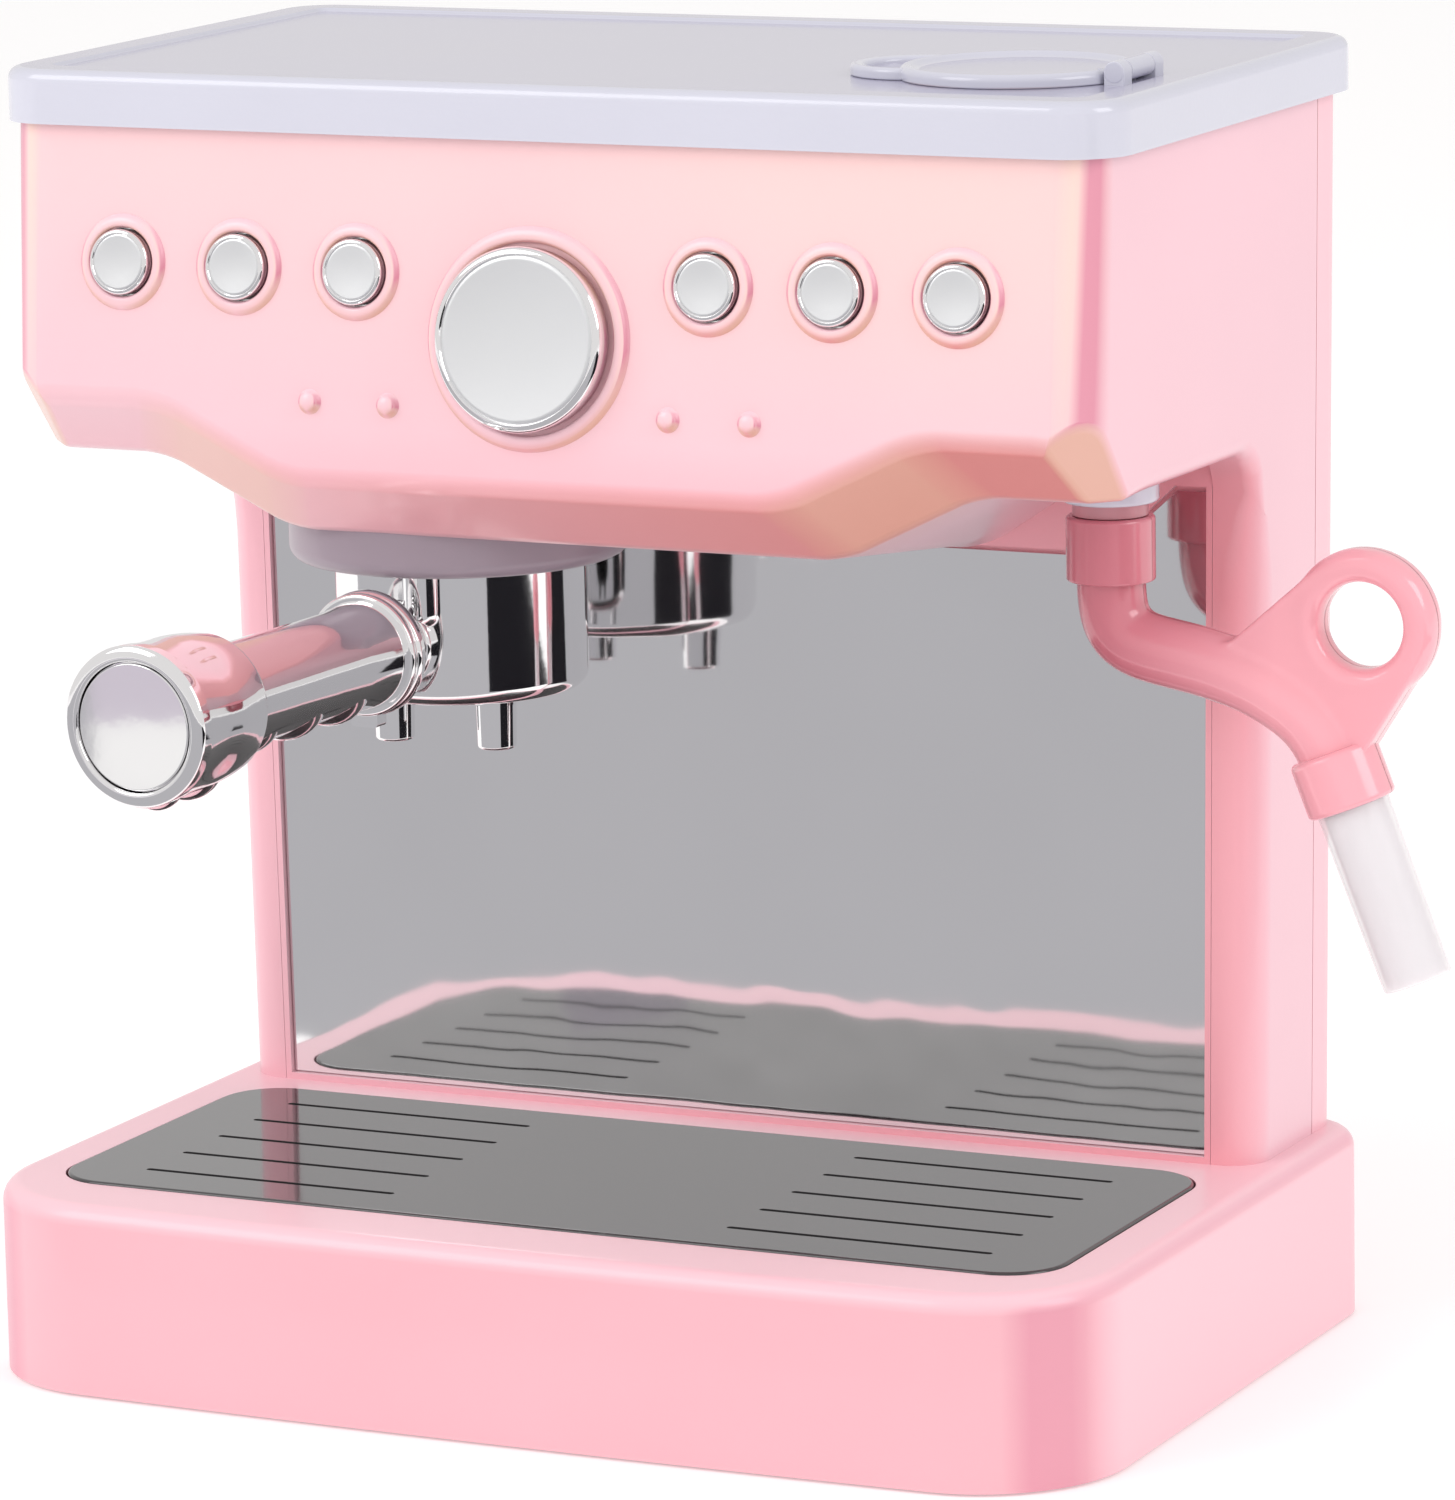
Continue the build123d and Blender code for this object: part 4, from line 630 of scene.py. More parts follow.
shift_ring(bm, feet, lambda x, y, z: (side_x(base_height) if x > side_from else x, y, base_height))
column = [e for e in open_edges(bm) if height_of(e) > 0.05
          and all(beyond(v, side_from) and 0.03 < v.co.y < 0.04 for v in e.verts)]
shift_ring(bm, column, lambda x, y, z: (x, side_rear, z))
bmesh.ops.remove_doubles(bm, verts=bm.verts, dist=2e-5)

# The corner between flank and column is closed, and all the side vertices take the draft.
for side in (-1, 1):
    beside = [v for v in bm.verts if v.co.x * side > side_from]
    gap = [v for v in beside if v.co.y > side_rear - 1e-5 and 0.05 < v.co.z < 0.2]
    if len(gap) == 2:
        bm.edges.new(gap)
    corner = {v for v in beside if v.co.y > 0.0232 and column_top - 0.0003 < v.co.z < side_low + 1e-3}
    loop = [e for e in bm.edges if len(e.link_faces) < 2 and all(v in corner for v in e.verts)]
    bmesh.ops.edgeloop_fill(bm, edges=loop)
for vert in bm.verts:
    if beyond(vert, 0.1125) and vert.co.y > 0.0:
        vert.co.x = math.copysign(side_x(vert.co.z), vert.co.x)
    elif (0.1055 < abs(vert.co.x) < 0.1075 and vert.co.y > belly_end + 0.001
          and vert.co.z < side_low + 0.001):
        vert.co.x = math.copysign(side_x(vert.co.z) - 0.0095, vert.co.x)
face_forwards(bm, 0.99)
flat_joins = [e for e in joining_edges(bm) if e.calc_face_angle() < math.radians(0.6)]
bmesh.ops.dissolve_edges(bm, edges=flat_joins, use_verts=False)

# Soft edges: a bevel whose width follows a weight on each edge. Long edges that end at a
# sharper one are split in short steps, so that the weight can fall off along them.
fall_step = 0.005
long_columns = [e for e in joining_edges(bm) if e.calc_length() > 0.1
                and all(beyond(v, side_from) and at_y(v, column_front, 1e-4) for v in e.verts)]
for edge in long_columns:
    for _ in range(5):
        upper = max(edge.verts, key=lambda v: v.co.z)
        bmesh.utils.edge_split(edge, upper, fall_step / edge.calc_length())
        edge = max((e for v in edge.verts for e in v.link_edges), key=lambda e: e.calc_length())
long_sides = [e for e in joining_edges(bm) if e.calc_length() > 0.03
              and all(beyond(v, side_from) and v.co.z < 0.19 and v.co.y < belly_end + 0.001 for v in e.verts)]
for edge in long_sides:
    for _ in range(3):
        rear_end = max(edge.verts, key=lambda v: v.co.y)
        edge = bmesh.utils.edge_split(edge, rear_end, 1 - fall_step / edge.calc_length())[0]
fine_soft, lip_soft, plain_soft, column_soft = 0.13, 0.2, 0.3, 0.35
soft = bm.edges.layers.float.new("bevel_weight_edge")
for edge in joining_edges(bm):
    middle = (edge.verts[0].co + edge.verts[1].co) / 2
    along = (edge.verts[1].co - edge.verts[0].co).normalized()
    upright, level = abs(along.z) > 0.9, abs(along.x) > 0.9
    if edge.calc_face_angle() < math.radians(13) or (upright and middle.y < 0):
        continue
    if level and middle.y > belly_end - 0.001 and middle.z < side_low + 0.001 and abs(middle.x) > 0.1:
        continue
    if any(0.5 < abs(f.normal.x) < 0.8 and f.normal.z < -0.3 for f in edge.link_faces):
        edge[soft] = fine_soft
    elif upright:
        edge[soft] = column_soft + 0.45 * min(1.0, (column_top - middle.z) / 0.02)
    elif abs(middle.x) > side_from:
        edge[soft] = min(column_soft, fine_soft + 14.0 * max(0.0, middle.y + 0.036))
    elif abs(middle.y - lip_rear) < 1e-3:
        edge[soft] = lip_soft
    else:
        edge[soft] = plain_soft
rough = add_object("housing_rough", bm)
softener = rough.modifiers.new("soft_edges", "BEVEL")
softener.limit_method = "WEIGHT"
softener.width = 0.01
softener.segments = 5
softener.use_clamp_overlap = False
softener.loop_slide = False
bm = from_modifiers(rough)

panel_out, panel_up = Vector((0, -0.99345, 0.11425)), Vector((0, 0.11425, 0.99345))


def panel_place(x, z):
    """From a piece's own axis to its seat on the leaning panel."""
    turn = Matrix((Vector((1, 0, 0)), panel_up, panel_out)).transposed().to_4x4()
    return Matrix.Translation((x, panel_y(z), z)) @ turn


def round_hole(radius, place, segments=48):
    ring = bmesh.new()
    bmesh.ops.create_circle(ring, cap_ends=False, segments=segments, radius=radius)
    return moved(ring, place)


button_x, button_z, dial_z = (-0.0889, -0.0632, -0.0375, 0.0375, 0.0632, 0.0889), 0.2223, 0.2110
panel = max((f for f in bm.faces if f.normal.y < -0.985), key=lambda f: f.calc_area())
holes = [round_hole(0.0067, panel_place(x, button_z)) for x in button_x]
open_holes(bm, panel, *holes, round_hole(0.0031, panel_place(0, dial_z), 24))
face_forwards(bm, 0.985)
# Its deeper pink on front faces below the head is painted shade.
panel_pearl = painted_pearl("panel_pearl", (0.88, 0.535, 0.605), 0.33, coat=0.4, under_head_shade=(0.91, 0.405, 0.46))
finished("housing_moulding", bm, [panel_pearl], "housing", "pearl_panel", "front_panel", "left_side_shell",
         "right_side_shell", "head_underside", smooth=30.0, wall=shell_wall)
refinish(panel_pearl, "backsplash")


# ---- Raised rings and domes on the panel ----
# Round beads moulded on the panel round each button and the dial, and the four small domes
# over the indicator lights.
def turned(points, steps=64, segments=5, closed=False, angle=360.0):
    """Turns a profile of (radius, height) or (radius, height, rounding) points round Z."""
    shape = bmesh.new()
    verts = [shape.verts.new((p[0], 0, p[1])) for p in points]
    for first, second in zip(verts, verts[1:]):
        shape.edges.new((first, second))
    if closed:
        shape.edges.new((verts[-1], verts[0]))
    for vert, point in zip(verts, points):
        if len(point) > 2:
            rounded(shape, [vert], point[2], segments, "VERTICES")
    full = angle == 360.0
    bmesh.ops.spin(shape, geom=shape.verts[:] + shape.edges[:], cent=(0, 0, 0), axis=(0, 0, 1),
                   angle=math.radians(angle), steps=steps, use_merge=full)
    bmesh.ops.remove_doubles(shape, verts=shape.verts, dist=1e-6)
    bmesh.ops.recalc_face_normals(shape, faces=shape.faces)
    return shape


bm = bmesh.new()
for x in button_x:
    bead = turned([(0.0067, -0.0010), (0.0069, 0.0011, 0.0005), (0.0079, 0.0013, 0.0006),
                   (0.0090, 0.0008, 0.0007), (0.0096, -0.0003), (0.0080, -0.0012)], closed=True)
    add_shape(bm, bead, panel_place(x, button_z))
bead = turned([(0.0183, -0.0010), (0.0185, 0.0013, 0.0006), (0.0199, 0.0018, 0.0010),
               (0.0211, 0.0010, 0.0008), (0.0217, -0.0003), (0.0200, -0.0012)], steps=96, closed=True)
add_shape(bm, bead, panel_place(0, dial_z))
for x in (-0.0469, -0.0299, 0.0299, 0.0469):
    dome = turned([(0.0030, -0.0004), (0.0020, 0.0004, 0.0006), (0.0017, 0.0014, 0.0008), (0.0, 0.0018)],
                  steps=32)
    add_shape(bm, dome, panel_place(x, 0.1971))
finished("panel_beads", bm, [panel_pearl], "housing", "pearl_panel", smooth=60.0)


# ---- Buttons ----
# Six push buttons with bright plated sides and a satin, slightly dished face. Each rides in
# its hole on a flange and stem behind the panel.
def plated_finish(name, colour, roughness, bump_depth=0.00002, scale=160.0):
    """Bright plating over plastic: tiny waves and faint changes of gloss."""
    material, shader, tint = grained(name, colour, 0.95, bump_depth, 0.5, Scale=scale, Roughness=roughness,
                                     Change=roughness * 0.6)
    material.node_tree.links.new(tint, shader.inputs["Base Color"])
    set_inputs(shader, Metallic=1.0)
    return material


plating = plated_finish("bright_plating", (0.93, 0.925, 0.93), 0.06)
satin = plated_finish("satin_face", (0.90, 0.91, 0.92), 0.42, bump_depth=0.00003, scale=700.0)


def face_material(bm, place, radius, height):
    """Gives the faces inside a radius and above a height the second finish."""
    back = place.inverted()
    for face in bm.faces:
        spot = back @ face.calc_center_median()
        if math.hypot(spot.x, spot.y) < radius and spot.z > height:
            face.material_index = 1


for number, x in enumerate(button_x, 1):
    place = panel_place(x, button_z)
    cap = turned([(0.0, -0.0118), (0.0024, -0.0118), (0.0024, -0.0040), (0.0079, -0.0040), (0.0079, -0.0027),
                  (0.0064, -0.0027), (0.0064, 0.0024, 0.0007), (0.0056, 0.0024, 0.0003), (0.00545, 0.0021),
                  (0.0052, 0.00225, 0.0002), (0.0030, 0.0021), (0.0, 0.0020)], steps=56)
    face_material(moved(cap, place), place, 0.0054, 0.0)
    finished(f"button_cap_{number}", cap, [plating, satin], f"button_{number}", "plated_plastic",
             f"button_{number}")


# ---- Dial ----
# The large turning knob in the middle: plated side and rim, a satin dished face, and a shaft
# that reaches the encoder behind the panel.
place = panel_place(0, dial_z)
knob = turned([(0.0, -0.0070), (0.0029, -0.0070), (0.0029, 0.0003), (0.0170, 0.0003),
               (0.0178, 0.0010, 0.0005), (0.0178, 0.0058, 0.0014), (0.0163, 0.0058, 0.0004), (0.0160, 0.0053),
               (0.0156, 0.0055, 0.0004), (0.0100, 0.0051), (0.0, 0.0050)], steps=96)
face_material(moved(knob, place), place, 0.0159, 0.0030)
finished("dial_knob", knob, [plating, satin], "dial", "plated_plastic", "dial")


# ---- Lid ----
# The silver lavender top cover: a lipped tray that caps the housing, with a raised border, a
# round filling hole and two ears for the hatch's hinge. Its level faces take a darker copy of the
# same lavender: painted shade on the top.
lid_top, lid_low, lid_step = 0.2592, 0.2486, 0.0007
hatch_x, hatch_y, hinge_x, hinge_z, ear_low = 0.0820, -0.0061, 0.1056, 0.2609, 0.2584
lid_pearl = painted_pearl("lid_pearl", (0.62, 0.62, 0.71), 0.17, amount=0.0, coat=0.5)
# A darker copy of the same lavender for the level faces: painted shade on the top.
lid_top_painted_shade = painted_pearl("lid_top_painted_shade", (0.44, 0.42, 0.545), 0.17, amount=0.0, coat=0.5)


def level_faces(bm):
    """Gives the level upper faces the second finish, a darker copy that paints shade on them."""
    bm.normal_update()
    for face in bm.faces:
        if face.normal.z > 0.995:
            face.material_index = 1


def rounded_block(width, front, back, low, height, corner, segments):
    """A block with rounded upright corners, centred on x = 0."""
    block = rounded_plan(bmesh.new(), width, front, back, low, corner, corner, segments)
    return extruded(block, (0, 0, height))


bm = rounded_plan(bmesh.new(), 0.238, -0.0511, 0.0804, lid_low, 0.012, 0.011)
extruded(bm, (0, 0, lid_top - lid_low))
rounded(bm, list(top_face(bm).edges), 0.0024, 6)
top = top_face(bm)
bmesh.ops.inset_region(bm, faces=[top], thickness=0.0062)
bmesh.ops.inset_region(bm, faces=[top], thickness=0.0008, depth=-lid_step)
open_holes(bm, top, round_hole(0.019, Matrix.Translation((hatch_x, hatch_y, lid_top - lid_step)), 64))
open_below(bm)
level_faces(bm)
finished("lid_cover", bm, [lid_pearl, lid_top_painted_shade], "housing", "lid_plastic", "top_cover", wall=0.0021)

bm = bmesh.new()
along_y = Matrix.Rotation(-math.pi / 2, 4, "X")
for side in (-1, 1):
    middle = hatch_y + side * 0.0078
    ear = turned([(0.0, -0.0021), (0.0021, -0.0021, 0.0003), (0.0021, 0.0021, 0.0003), (0.0, 0.0021)],
                 steps=32)
    add_shape(bm, ear, Matrix.Translation((hinge_x, middle, hinge_z)) @ along_y)
    post = rounded_block(0.0042, middle - 0.002, middle + 0.002, ear_low, hinge_z - ear_low, 0.0003, 3)
    add_shape(bm, post, Matrix.Translation((hinge_x, 0, 0)))
finished("hinge_ears", bm, [lid_pearl], "housing", "lid_plastic")

# ---- Hatch ----
# The filling hatch: a shallow dished cap with a swept rim, a C-shaped finger ring at its left,
# a plug that fits the hole and a knuckle on the hinge pin.
hatch_low = 0.25852
bm = turned([(0.0, hatch_low), (0.0228, hatch_low, 0.0004), (0.0228, 0.2610, 0.0012),
             (0.0212, 0.2612, 0.0008), (0.0196, 0.2601, 0.0008), (0.0, 0.2598)], steps=96)
bmesh.ops.translate(bm, vec=(hatch_x, hatch_y, 0), verts=bm.verts)
trimmed = bmesh.ops.bisect_plane(bm, geom=bm.verts[:] + bm.edges[:] + bm.faces[:], dist=1e-6,
                                 clear_outer=True, plane_co=(hinge_x - 0.0026, 0, 0), plane_no=(1, 0, 0))
bmesh.ops.edgeloop_fill(bm, edges=[g for g in trimmed["geom_cut"] if isinstance(g, bmesh.types.BMEdge)])
ring_place = Matrix.Translation((hatch_x - 0.021, hatch_y, 0))
ring = turned([(0.0102, hatch_low), (0.0102, 0.2606, 0.0008), (0.0130, 0.2610, 0.0012),
               (0.0130, hatch_low, 0.0004)], steps=56, closed=True, angle=210.0)
bmesh.ops.holes_fill(ring, edges=ring.edges)
add_shape(bm, ring, ring_place @ Matrix.Rotation(math.radians(75), 4, "Z"))
web = turned([(0.0, hatch_low), (0.0110, hatch_low), (0.0110, 0.2596), (0.0, 0.2594)], steps=56)
add_shape(bm, web, ring_place)
plug = turned([(0.0167, 0.2560), (0.0183, 0.2560, 0.0005), (0.0183, 0.2590), (0.0167, 0.2590)], steps=72,
              closed=True)
add_shape(bm, plug, Matrix.Translation((hatch_x, hatch_y, 0)))
knuckle = turned([(0.00096, -0.0055), (0.0021, -0.0055, 0.0003), (0.0021, 0.0055, 0.0003), (0.00096, 0.0055)],
                 steps=32, closed=True)
add_shape(bm, knuckle, Matrix.Translation((hinge_x, hatch_y, hinge_z)) @ along_y)
arm = rounded_block(0.0040, hatch_y - 0.0055, hatch_y + 0.0055, 0.2600, 0.0011, 0.0003, 3)
add_shape(bm, arm, Matrix.Translation((hinge_x - 0.0032, 0, 0)))
level_faces(bm)
finished("filling_hatch", bm, [lid_pearl, lid_top_painted_shade], "hatch", "lid_plastic", "hatch")

# ---- Group head and lock ring ----
# The frosted lavender disc under the belly that the portafilter locks into. Its bore holds the
# turning lock ring.
group_centre = Matrix.Translation((-0.040, -0.0066, 0))
# Its lavender is darkened as painted shade, for the shadow under the belly's lip.
frosted = moulded("frosted_lavender", (0.34, 0.275, 0.325), 0.34, coat=0.2)
disc = turned([(0.0034, 0.1684), (0.0306, 0.1684), (0.0306, 0.1615), (0.0287, 0.1615),
               (0.0287, 0.1602, 0.0004), (0.0340, 0.1602, 0.0030), (0.0340, 0.1768), (0.0034, 0.1768)],
              steps=96, closed=True)
finished("group_disc", moved(disc, group_centre), [frosted], "housing", "lavender_plastic", "group_head")
refinish(frosted, "lock_ring")

# ---- Portafilter cup and spouts ----
# The plated cup with a rounded foot, its two locking ears, the neck to the handle, and the pair
# of spouts on a thin bridge below.
holder_place = group_centre @ Matrix.Rotation(math.radians(-3.7), 4, "Z")
handle_place = holder_place @ Matrix.Translation((0, 0, 0.1459)) @ Matrix.Rotation(math.pi / 2, 4, "X")
bm = bmesh.new()
cup = turned([(0.0, 0.1333), (0.0251, 0.1333, 0.0034), (0.0251, 0.1656, 0.0005), (0.0233, 0.1656, 0.0005),
              (0.0232, 0.1352, 0.0020), (0.0, 0.1352)], steps=128)
add_shape(bm, cup, holder_place)
for turn in (12.6, 192.6):
    ear = turned([(0.0, 0.1490), (0.0039, 0.1490, 0.0034), (0.0039, 0.1649, 0.0004), (0.0, 0.1649)], steps=40)
    ear_turn = Matrix.Rotation(math.radians(turn), 4, "Z")
    add_shape(bm, ear, holder_place @ ear_turn @ Matrix.Translation((0, -0.0242, 0)))
neck = turned([(0.0, 0.0235), (0.0086, 0.0235), (0.0086, 0.0270, 0.0009), (0.0066, 0.0274, 0.0006),
               (0.0066, 0.0336), (0.0, 0.0336)], steps=48)
add_shape(bm, neck, handle_place)
finished("portafilter_cup_plated", bm, [plating], "portafilter", "plated_plastic", "portafilter_cup")

bm = bmesh.new()
for side in (-1, 1):
    spout = turned([(0.0024, 0.1229, 0.0003), (0.0039, 0.1229, 0.0007), (0.0041, 0.1333), (0.0024, 0.1333)],
                   steps=48, closed=True)
    add_shape(bm, spout, Matrix.Translation((side * 0.0118, -0.0075, 0)))
add_shape(bm, rounded_block(0.0318, -0.0116, -0.0034, 0.1319, 0.0014, 0.0040, 8))
finished("portafilter_spouts_plated", moved(bm, holder_place), [plating], "portafilter", "plated_plastic",
         "portafilter_spouts")

# ---- Handle ----
# The plated handle: a grooved collar with a nub below, a waisted grip with finger bumps, a
# barrel cap with a rounded lip, and a mirror disc in its end.
def handle_piece(name, node, points, *extras):
    """A turned piece of the handle, with extra shapes along its axis."""
    bm = turned(points, steps=96)
    for extra in extras:
        add_shape(bm, extra)
    finished(name, moved(bm, handle_place), [plating], "portafilter", "plated_plastic", node)


def finger_bump(distance, radius, drop):
    """A round bump under the handle."""
    bump = bmesh.new()
    bmesh.ops.create_uvsphere(bump, u_segments=40, v_segments=24, radius=radius)
    return moved(bump, Matrix.Translation((0, -drop, distance)))


handle_piece("handle_collar_plated", "handle_collar",
             [(0.0, 0.0336), (0.0110, 0.0336), (0.0124, 0.0342, 0.0006), (0.0124, 0.0362, 0.0006),
              (0.0116, 0.0368, 0.0004), (0.0122, 0.0374, 0.0005), (0.0122, 0.0390, 0.0009), (0.0, 0.0390)],
             rounded_block(0.0060, -0.0144, -0.0104, 0.0346, 0.0034, 0.0008, 4))
handle_piece("handle_grip_plated", "handle_grip",
             [(0.0, 0.0390), (0.0108, 0.0390), (0.0101, 0.0460, 0.004), (0.0100, 0.0700, 0.010),
              (0.0106, 0.0930), (0.0, 0.0930)],
             *(finger_bump(distance, 0.0086, 0.0032) for distance in (0.0510, 0.0670, 0.0830)))
handle_piece("handle_cap_plated", "handle_cap",
             [(0.0, 0.0930), (0.0128, 0.0930, 0.0005), (0.0138, 0.0940, 0.0008), (0.0150, 0.1010, 0.0040),
              (0.0150, 0.1120, 0.0040), (0.0155, 0.1165, 0.0020), (0.0155, 0.1198, 0.0022),
              (0.0126, 0.1198, 0.0005), (0.0122, 0.1183), (0.0, 0.1183)],
             finger_bump(0.1123, 0.0055, 0.0116), finger_bump(0.1023, 0.0076, 0.0094))
handle_piece("handle_mirror", "handle_end_mirror",
             [(0.0, 0.1183), (0.0121, 0.1183), (0.0121, 0.1193, 0.0003), (0.0, 0.1193)])

# ---- Steam wand ----
# The pink wand, moulded in two halves that are glued along a parting line: a sleeve, a round arm
# that bends down into the socket, and a thin web with the finger loop. Its tip is a clear tube
# over a frosted core.
def parted_with_painted_shade(material, y):
    """Adds a parting line in the plane y to a material, and painted shade: a deeper pink towards the head,
    which shades the arm.
    """
    tree = material.node_tree
    shader = tree.nodes["Principled BSDF"]
    spot = tree.nodes.new("ShaderNodeTexCoord")
    split = tree.nodes.new("ShaderNodeSeparateXYZ")
    tree.links.new(spot.outputs["Object"], split.inputs[0])
    away = sum_node(tree, "ABSOLUTE", sum_node(tree, "SUBTRACT", split.outputs["Y"], y))
    flat = sum_node(tree, "DIVIDE", away, 0.00035, clamp=True)
    groove = tree.nodes.new("ShaderNodeBump")
    set_inputs(groove, Distance=0.0003)
    tree.links.new(flat, groove.inputs["Height"])
    tree.links.new(shader.inputs["Normal"].links[0].from_socket, groove.inputs["Normal"])
    tree.links.new(groove.outputs[0], shader.inputs["Normal"])
    body = shader.inputs["Base Color"].links[0].from_socket
    # Painted shade: the pink deepens towards the head, under which the arm lies in shadow.
    painted_head_shade = ramp(tree, split.outputs["X"], -30.0, 3.9)
    body = mix_node(tree, painted_head_shade, body, (0.58, 0.165, 0.21))
    tree.links.new(mix_node(tree, flat, (0.62, 0.16, 0.20), body), shader.inputs["Base Color"])
    return material


wand_x, wand_y, loop_x, loop_z, loop_hole, web_half = 0.0944, 0.0069, 0.1468, 0.1544, 0.0084, 0.0043
socket_lean = Matrix.Rotation(math.radians(180 - 21.5), 4, "Y")
socket_place = Matrix.Translation((0.1399, wand_y, 0.1294)) @ socket_lean
wand_pink = parted_with_painted_shade(moulded("wand_pink", (0.95, 0.41, 0.47), 0.2, coat=0.8, edge=0.03), wand_y)

arm_curve = bpy.data.curves.new("wand_arm_line", "CURVE")
arm_curve.dimensions = "3D"
arm_curve.bevel_depth = 0.0068
arm_curve.bevel_resolution = 8
arm_curve.use_fill_caps = True
line = arm_curve.splines.new("NURBS")
arm_points = [(0.0944, 0.1625), (0.0944, 0.1580), (0.0947, 0.1518), (0.0990, 0.1478), (0.1060, 0.1464),
              (0.1150, 0.1449), (0.1240, 0.1423), (0.1315, 0.1385), (0.1368, 0.1345), (0.1399, 0.1294),
              (0.1420, 0.1240)]
line.points.add(len(arm_points) - 1)
for point, (x, z) in zip(line.points, arm_points):
    point.co = (x, wand_y, z, 1)
line.order_u = 4
line.use_endpoint_u = True
line.resolution_u = 10
arm = bpy.data.objects.new("wand_arm_line", arm_curve)
scene.collection.objects.link(arm)
body = from_modifiers(arm)

upright = Matrix.Rotation(math.pi / 2, 4, "X")
web = bmesh.new()
round_loop = [math.radians(a) for a in (135, 110, 80, 50, 20, -10, -36)]
web_outline = [(0.1120, 0.1470), (0.1208, 0.1503)]
web_outline += [(loop_x + 0.0140 * math.cos(a), loop_z + 0.0140 * math.sin(a)) for a in round_loop]
web_outline += [(0.1475, 0.1295), (0.1400, 0.1262), (0.1330, 0.1310), (0.1240, 0.1400), (0.1120, 0.1440)]
web_face = web.faces.new([web.verts.new((x, wand_y - web_half, z)) for x, z in web_outline])
hole_place = Matrix.Translation((loop_x, wand_y - web_half, loop_z)) @ upright
open_holes(web, web_face, round_hole(0.0100, hole_place, 64))
add_shape(body, extruded(web, (0, 2 * web_half, 0)))
loop = turned([(loop_hole, -0.0046, 0.0028), (0.0148, -0.0046, 0.0034), (0.0148, 0.0046, 0.0034),
               (loop_hole, 0.0046, 0.0028)], steps=96, segments=8, closed=True)
add_shape(body, loop, Matrix.Translation((loop_x, wand_y, loop_z)) @ upright)
rough = add_object("wand_rough", body)
fused = rough.modifiers.new("fused", "REMESH")
fused.mode = "VOXEL"
fused.voxel_size = 0.00055
eased = rough.modifiers.new("eased", "SMOOTH")
eased.factor = 0.5
eased.iterations = 14
finished("wand_moulding", from_modifiers(rough), [wand_pink], "wand", "pink_shell", "wand_front_half",
         "wand_back_half", smooth=80.0)

bm = turned([(0.0044, 0.1600), (0.0044, 0.1728), (0.0087, 0.1728, 0.0008), (0.0087, 0.1600, 0.0006)],
            steps=72, closed=True)
bmesh.ops.translate(bm, vec=(wand_x, wand_y, 0), verts=bm.verts)
socket = turned([(0.0, 0.0), (0.0088, 0.0, 0.0014), (0.0088, 0.0114, 0.0010), (0.0073, 0.0114, 0.0002),
                 (0.0073, 0.0094), (0.0, 0.0094)], steps=72)
add_shape(bm, socket, socket_place)
finished("wand_sleeve_and_socket", bm, [wand_pink], "wand", "pink_shell")
refinish(lid_pearl, "wand_collar")


def clear_finish(name, colour, roughness, weight):
    """Clear or frosted moulded plastic; a weight of 0 lets no light through."""
    material = moulded(name, colour, roughness, coat=0.0, edge=0.02)
    set_inputs(material.node_tree.nodes["Principled BSDF"], Transmission_Weight=weight, IOR=1.46)
    return material


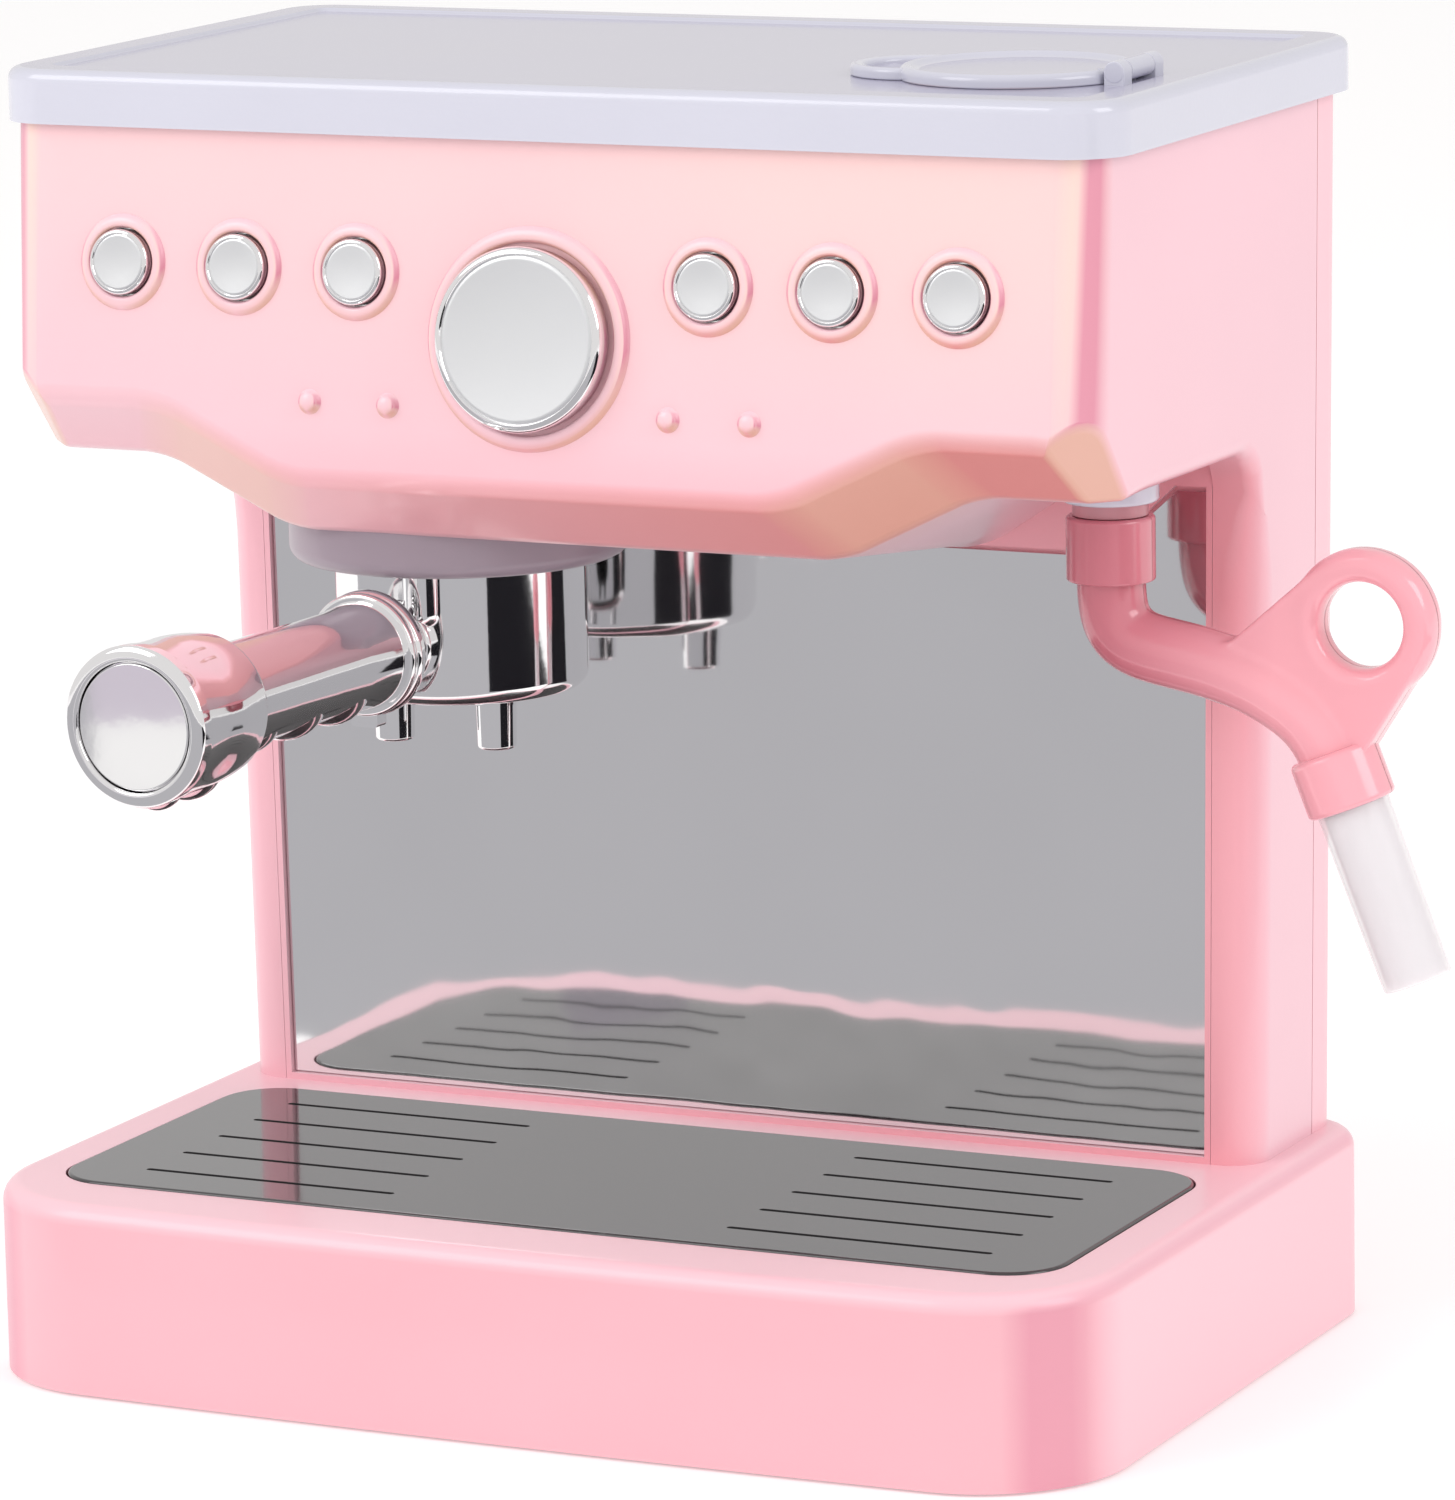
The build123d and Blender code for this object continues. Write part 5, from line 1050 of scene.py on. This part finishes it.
clear_tip = clear_finish("clear_tip", (0.97, 0.94, 0.96), 0.12, 0.0)
set_inputs(clear_tip.node_tree.nodes["Principled BSDF"], Alpha=0.35)
frosted_core = clear_finish("frosted_core", (0.90, 0.87, 0.89), 0.40, 0.0)
tip = turned([(0.0062, 0.0096), (0.0072, 0.0096), (0.0068, 0.0474, 0.0006), (0.0062, 0.0474)], steps=72,
             closed=True)
finished("tip_tube", moved(tip, socket_place), [clear_tip], "wand", "clear_plastic", "wand_tip")
core = turned([(0.0, 0.0096), (0.0060, 0.0096), (0.0059, 0.0470, 0.0008), (0.0, 0.0472)], steps=64)
finished("tip_core", moved(core, socket_place), [frosted_core], "wand", "clear_plastic")
refinish(clear_finish("clear_ring", (0.86, 0.42, 0.47), 0.15, 0.4), "wand_ring")

# ---- Mirror and drip parts ----
# The mirror film on the backsplash, faintly wavy, and the dark glossy drip plate over its tub.
mirror_film = plated_finish("mirror_film", (0.90, 0.895, 0.90), 0.05, bump_depth=0.0012, scale=14.0)
refinish(mirror_film, "backsplash_mirror")
plate_gloss = moulded("plate_gloss", (0.035, 0.032, 0.034), 0.10, grain=0.00001, coat=0.45, edge=0.05)
set_inputs(plate_gloss.node_tree.nodes["Principled BSDF"], Coat_Roughness=0.03)
refinish(plate_gloss, "drip_plate")
refinish(moulded("tub_plastic", (0.30, 0.28, 0.29), 0.4), "drip_tray")

# ---- Inside and underneath ----
# The parts behind the housing: tank, pump, hoses, board, switches, batteries, speaker, screws
# and rubber feet.
refinish(clear_finish("tank_plastic", (0.90, 0.93, 0.96), 0.20, 0.5), "water_tank")
refinish(moulded("inner_white", (0.78, 0.77, 0.74), 0.42), "brew_nozzle", "battery_box", "dial_encoder")
refinish(moulded("board_green", (0.03, 0.16, 0.07), 0.35, edge=0.3), "control_board")
refinish(moulded("switch_black", (0.03, 0.03, 0.032), 0.35), "button_switches", "battery_lead")
refinish(moulded("light_resin", (0.92, 0.80, 0.74), 0.2), "indicator_leds")
refinish(moulded("motor_metal", (0.55, 0.54, 0.52), 0.32, metal=1.0, coat=0.0), "pump", "battery_cells")
refinish(moulded("hose_rubber", (0.62, 0.64, 0.66), 0.45, coat=0.1), "water_hoses")
refinish(moulded("speaker_black", (0.05, 0.05, 0.055), 0.5), "speaker")
refinish(moulded("foot_rubber", (0.24, 0.23, 0.23), 0.75, grain=0.0001, scale=1600.0, coat=0.0), "foot_pads")
refinish(moulded("screw_steel", (0.62, 0.61, 0.60), 0.30, metal=1.0, coat=0.0, edge=0.4),
         "base_screws", "column_screws", "rear_screws", "battery_door_screw", "hatch_hinge_pin")
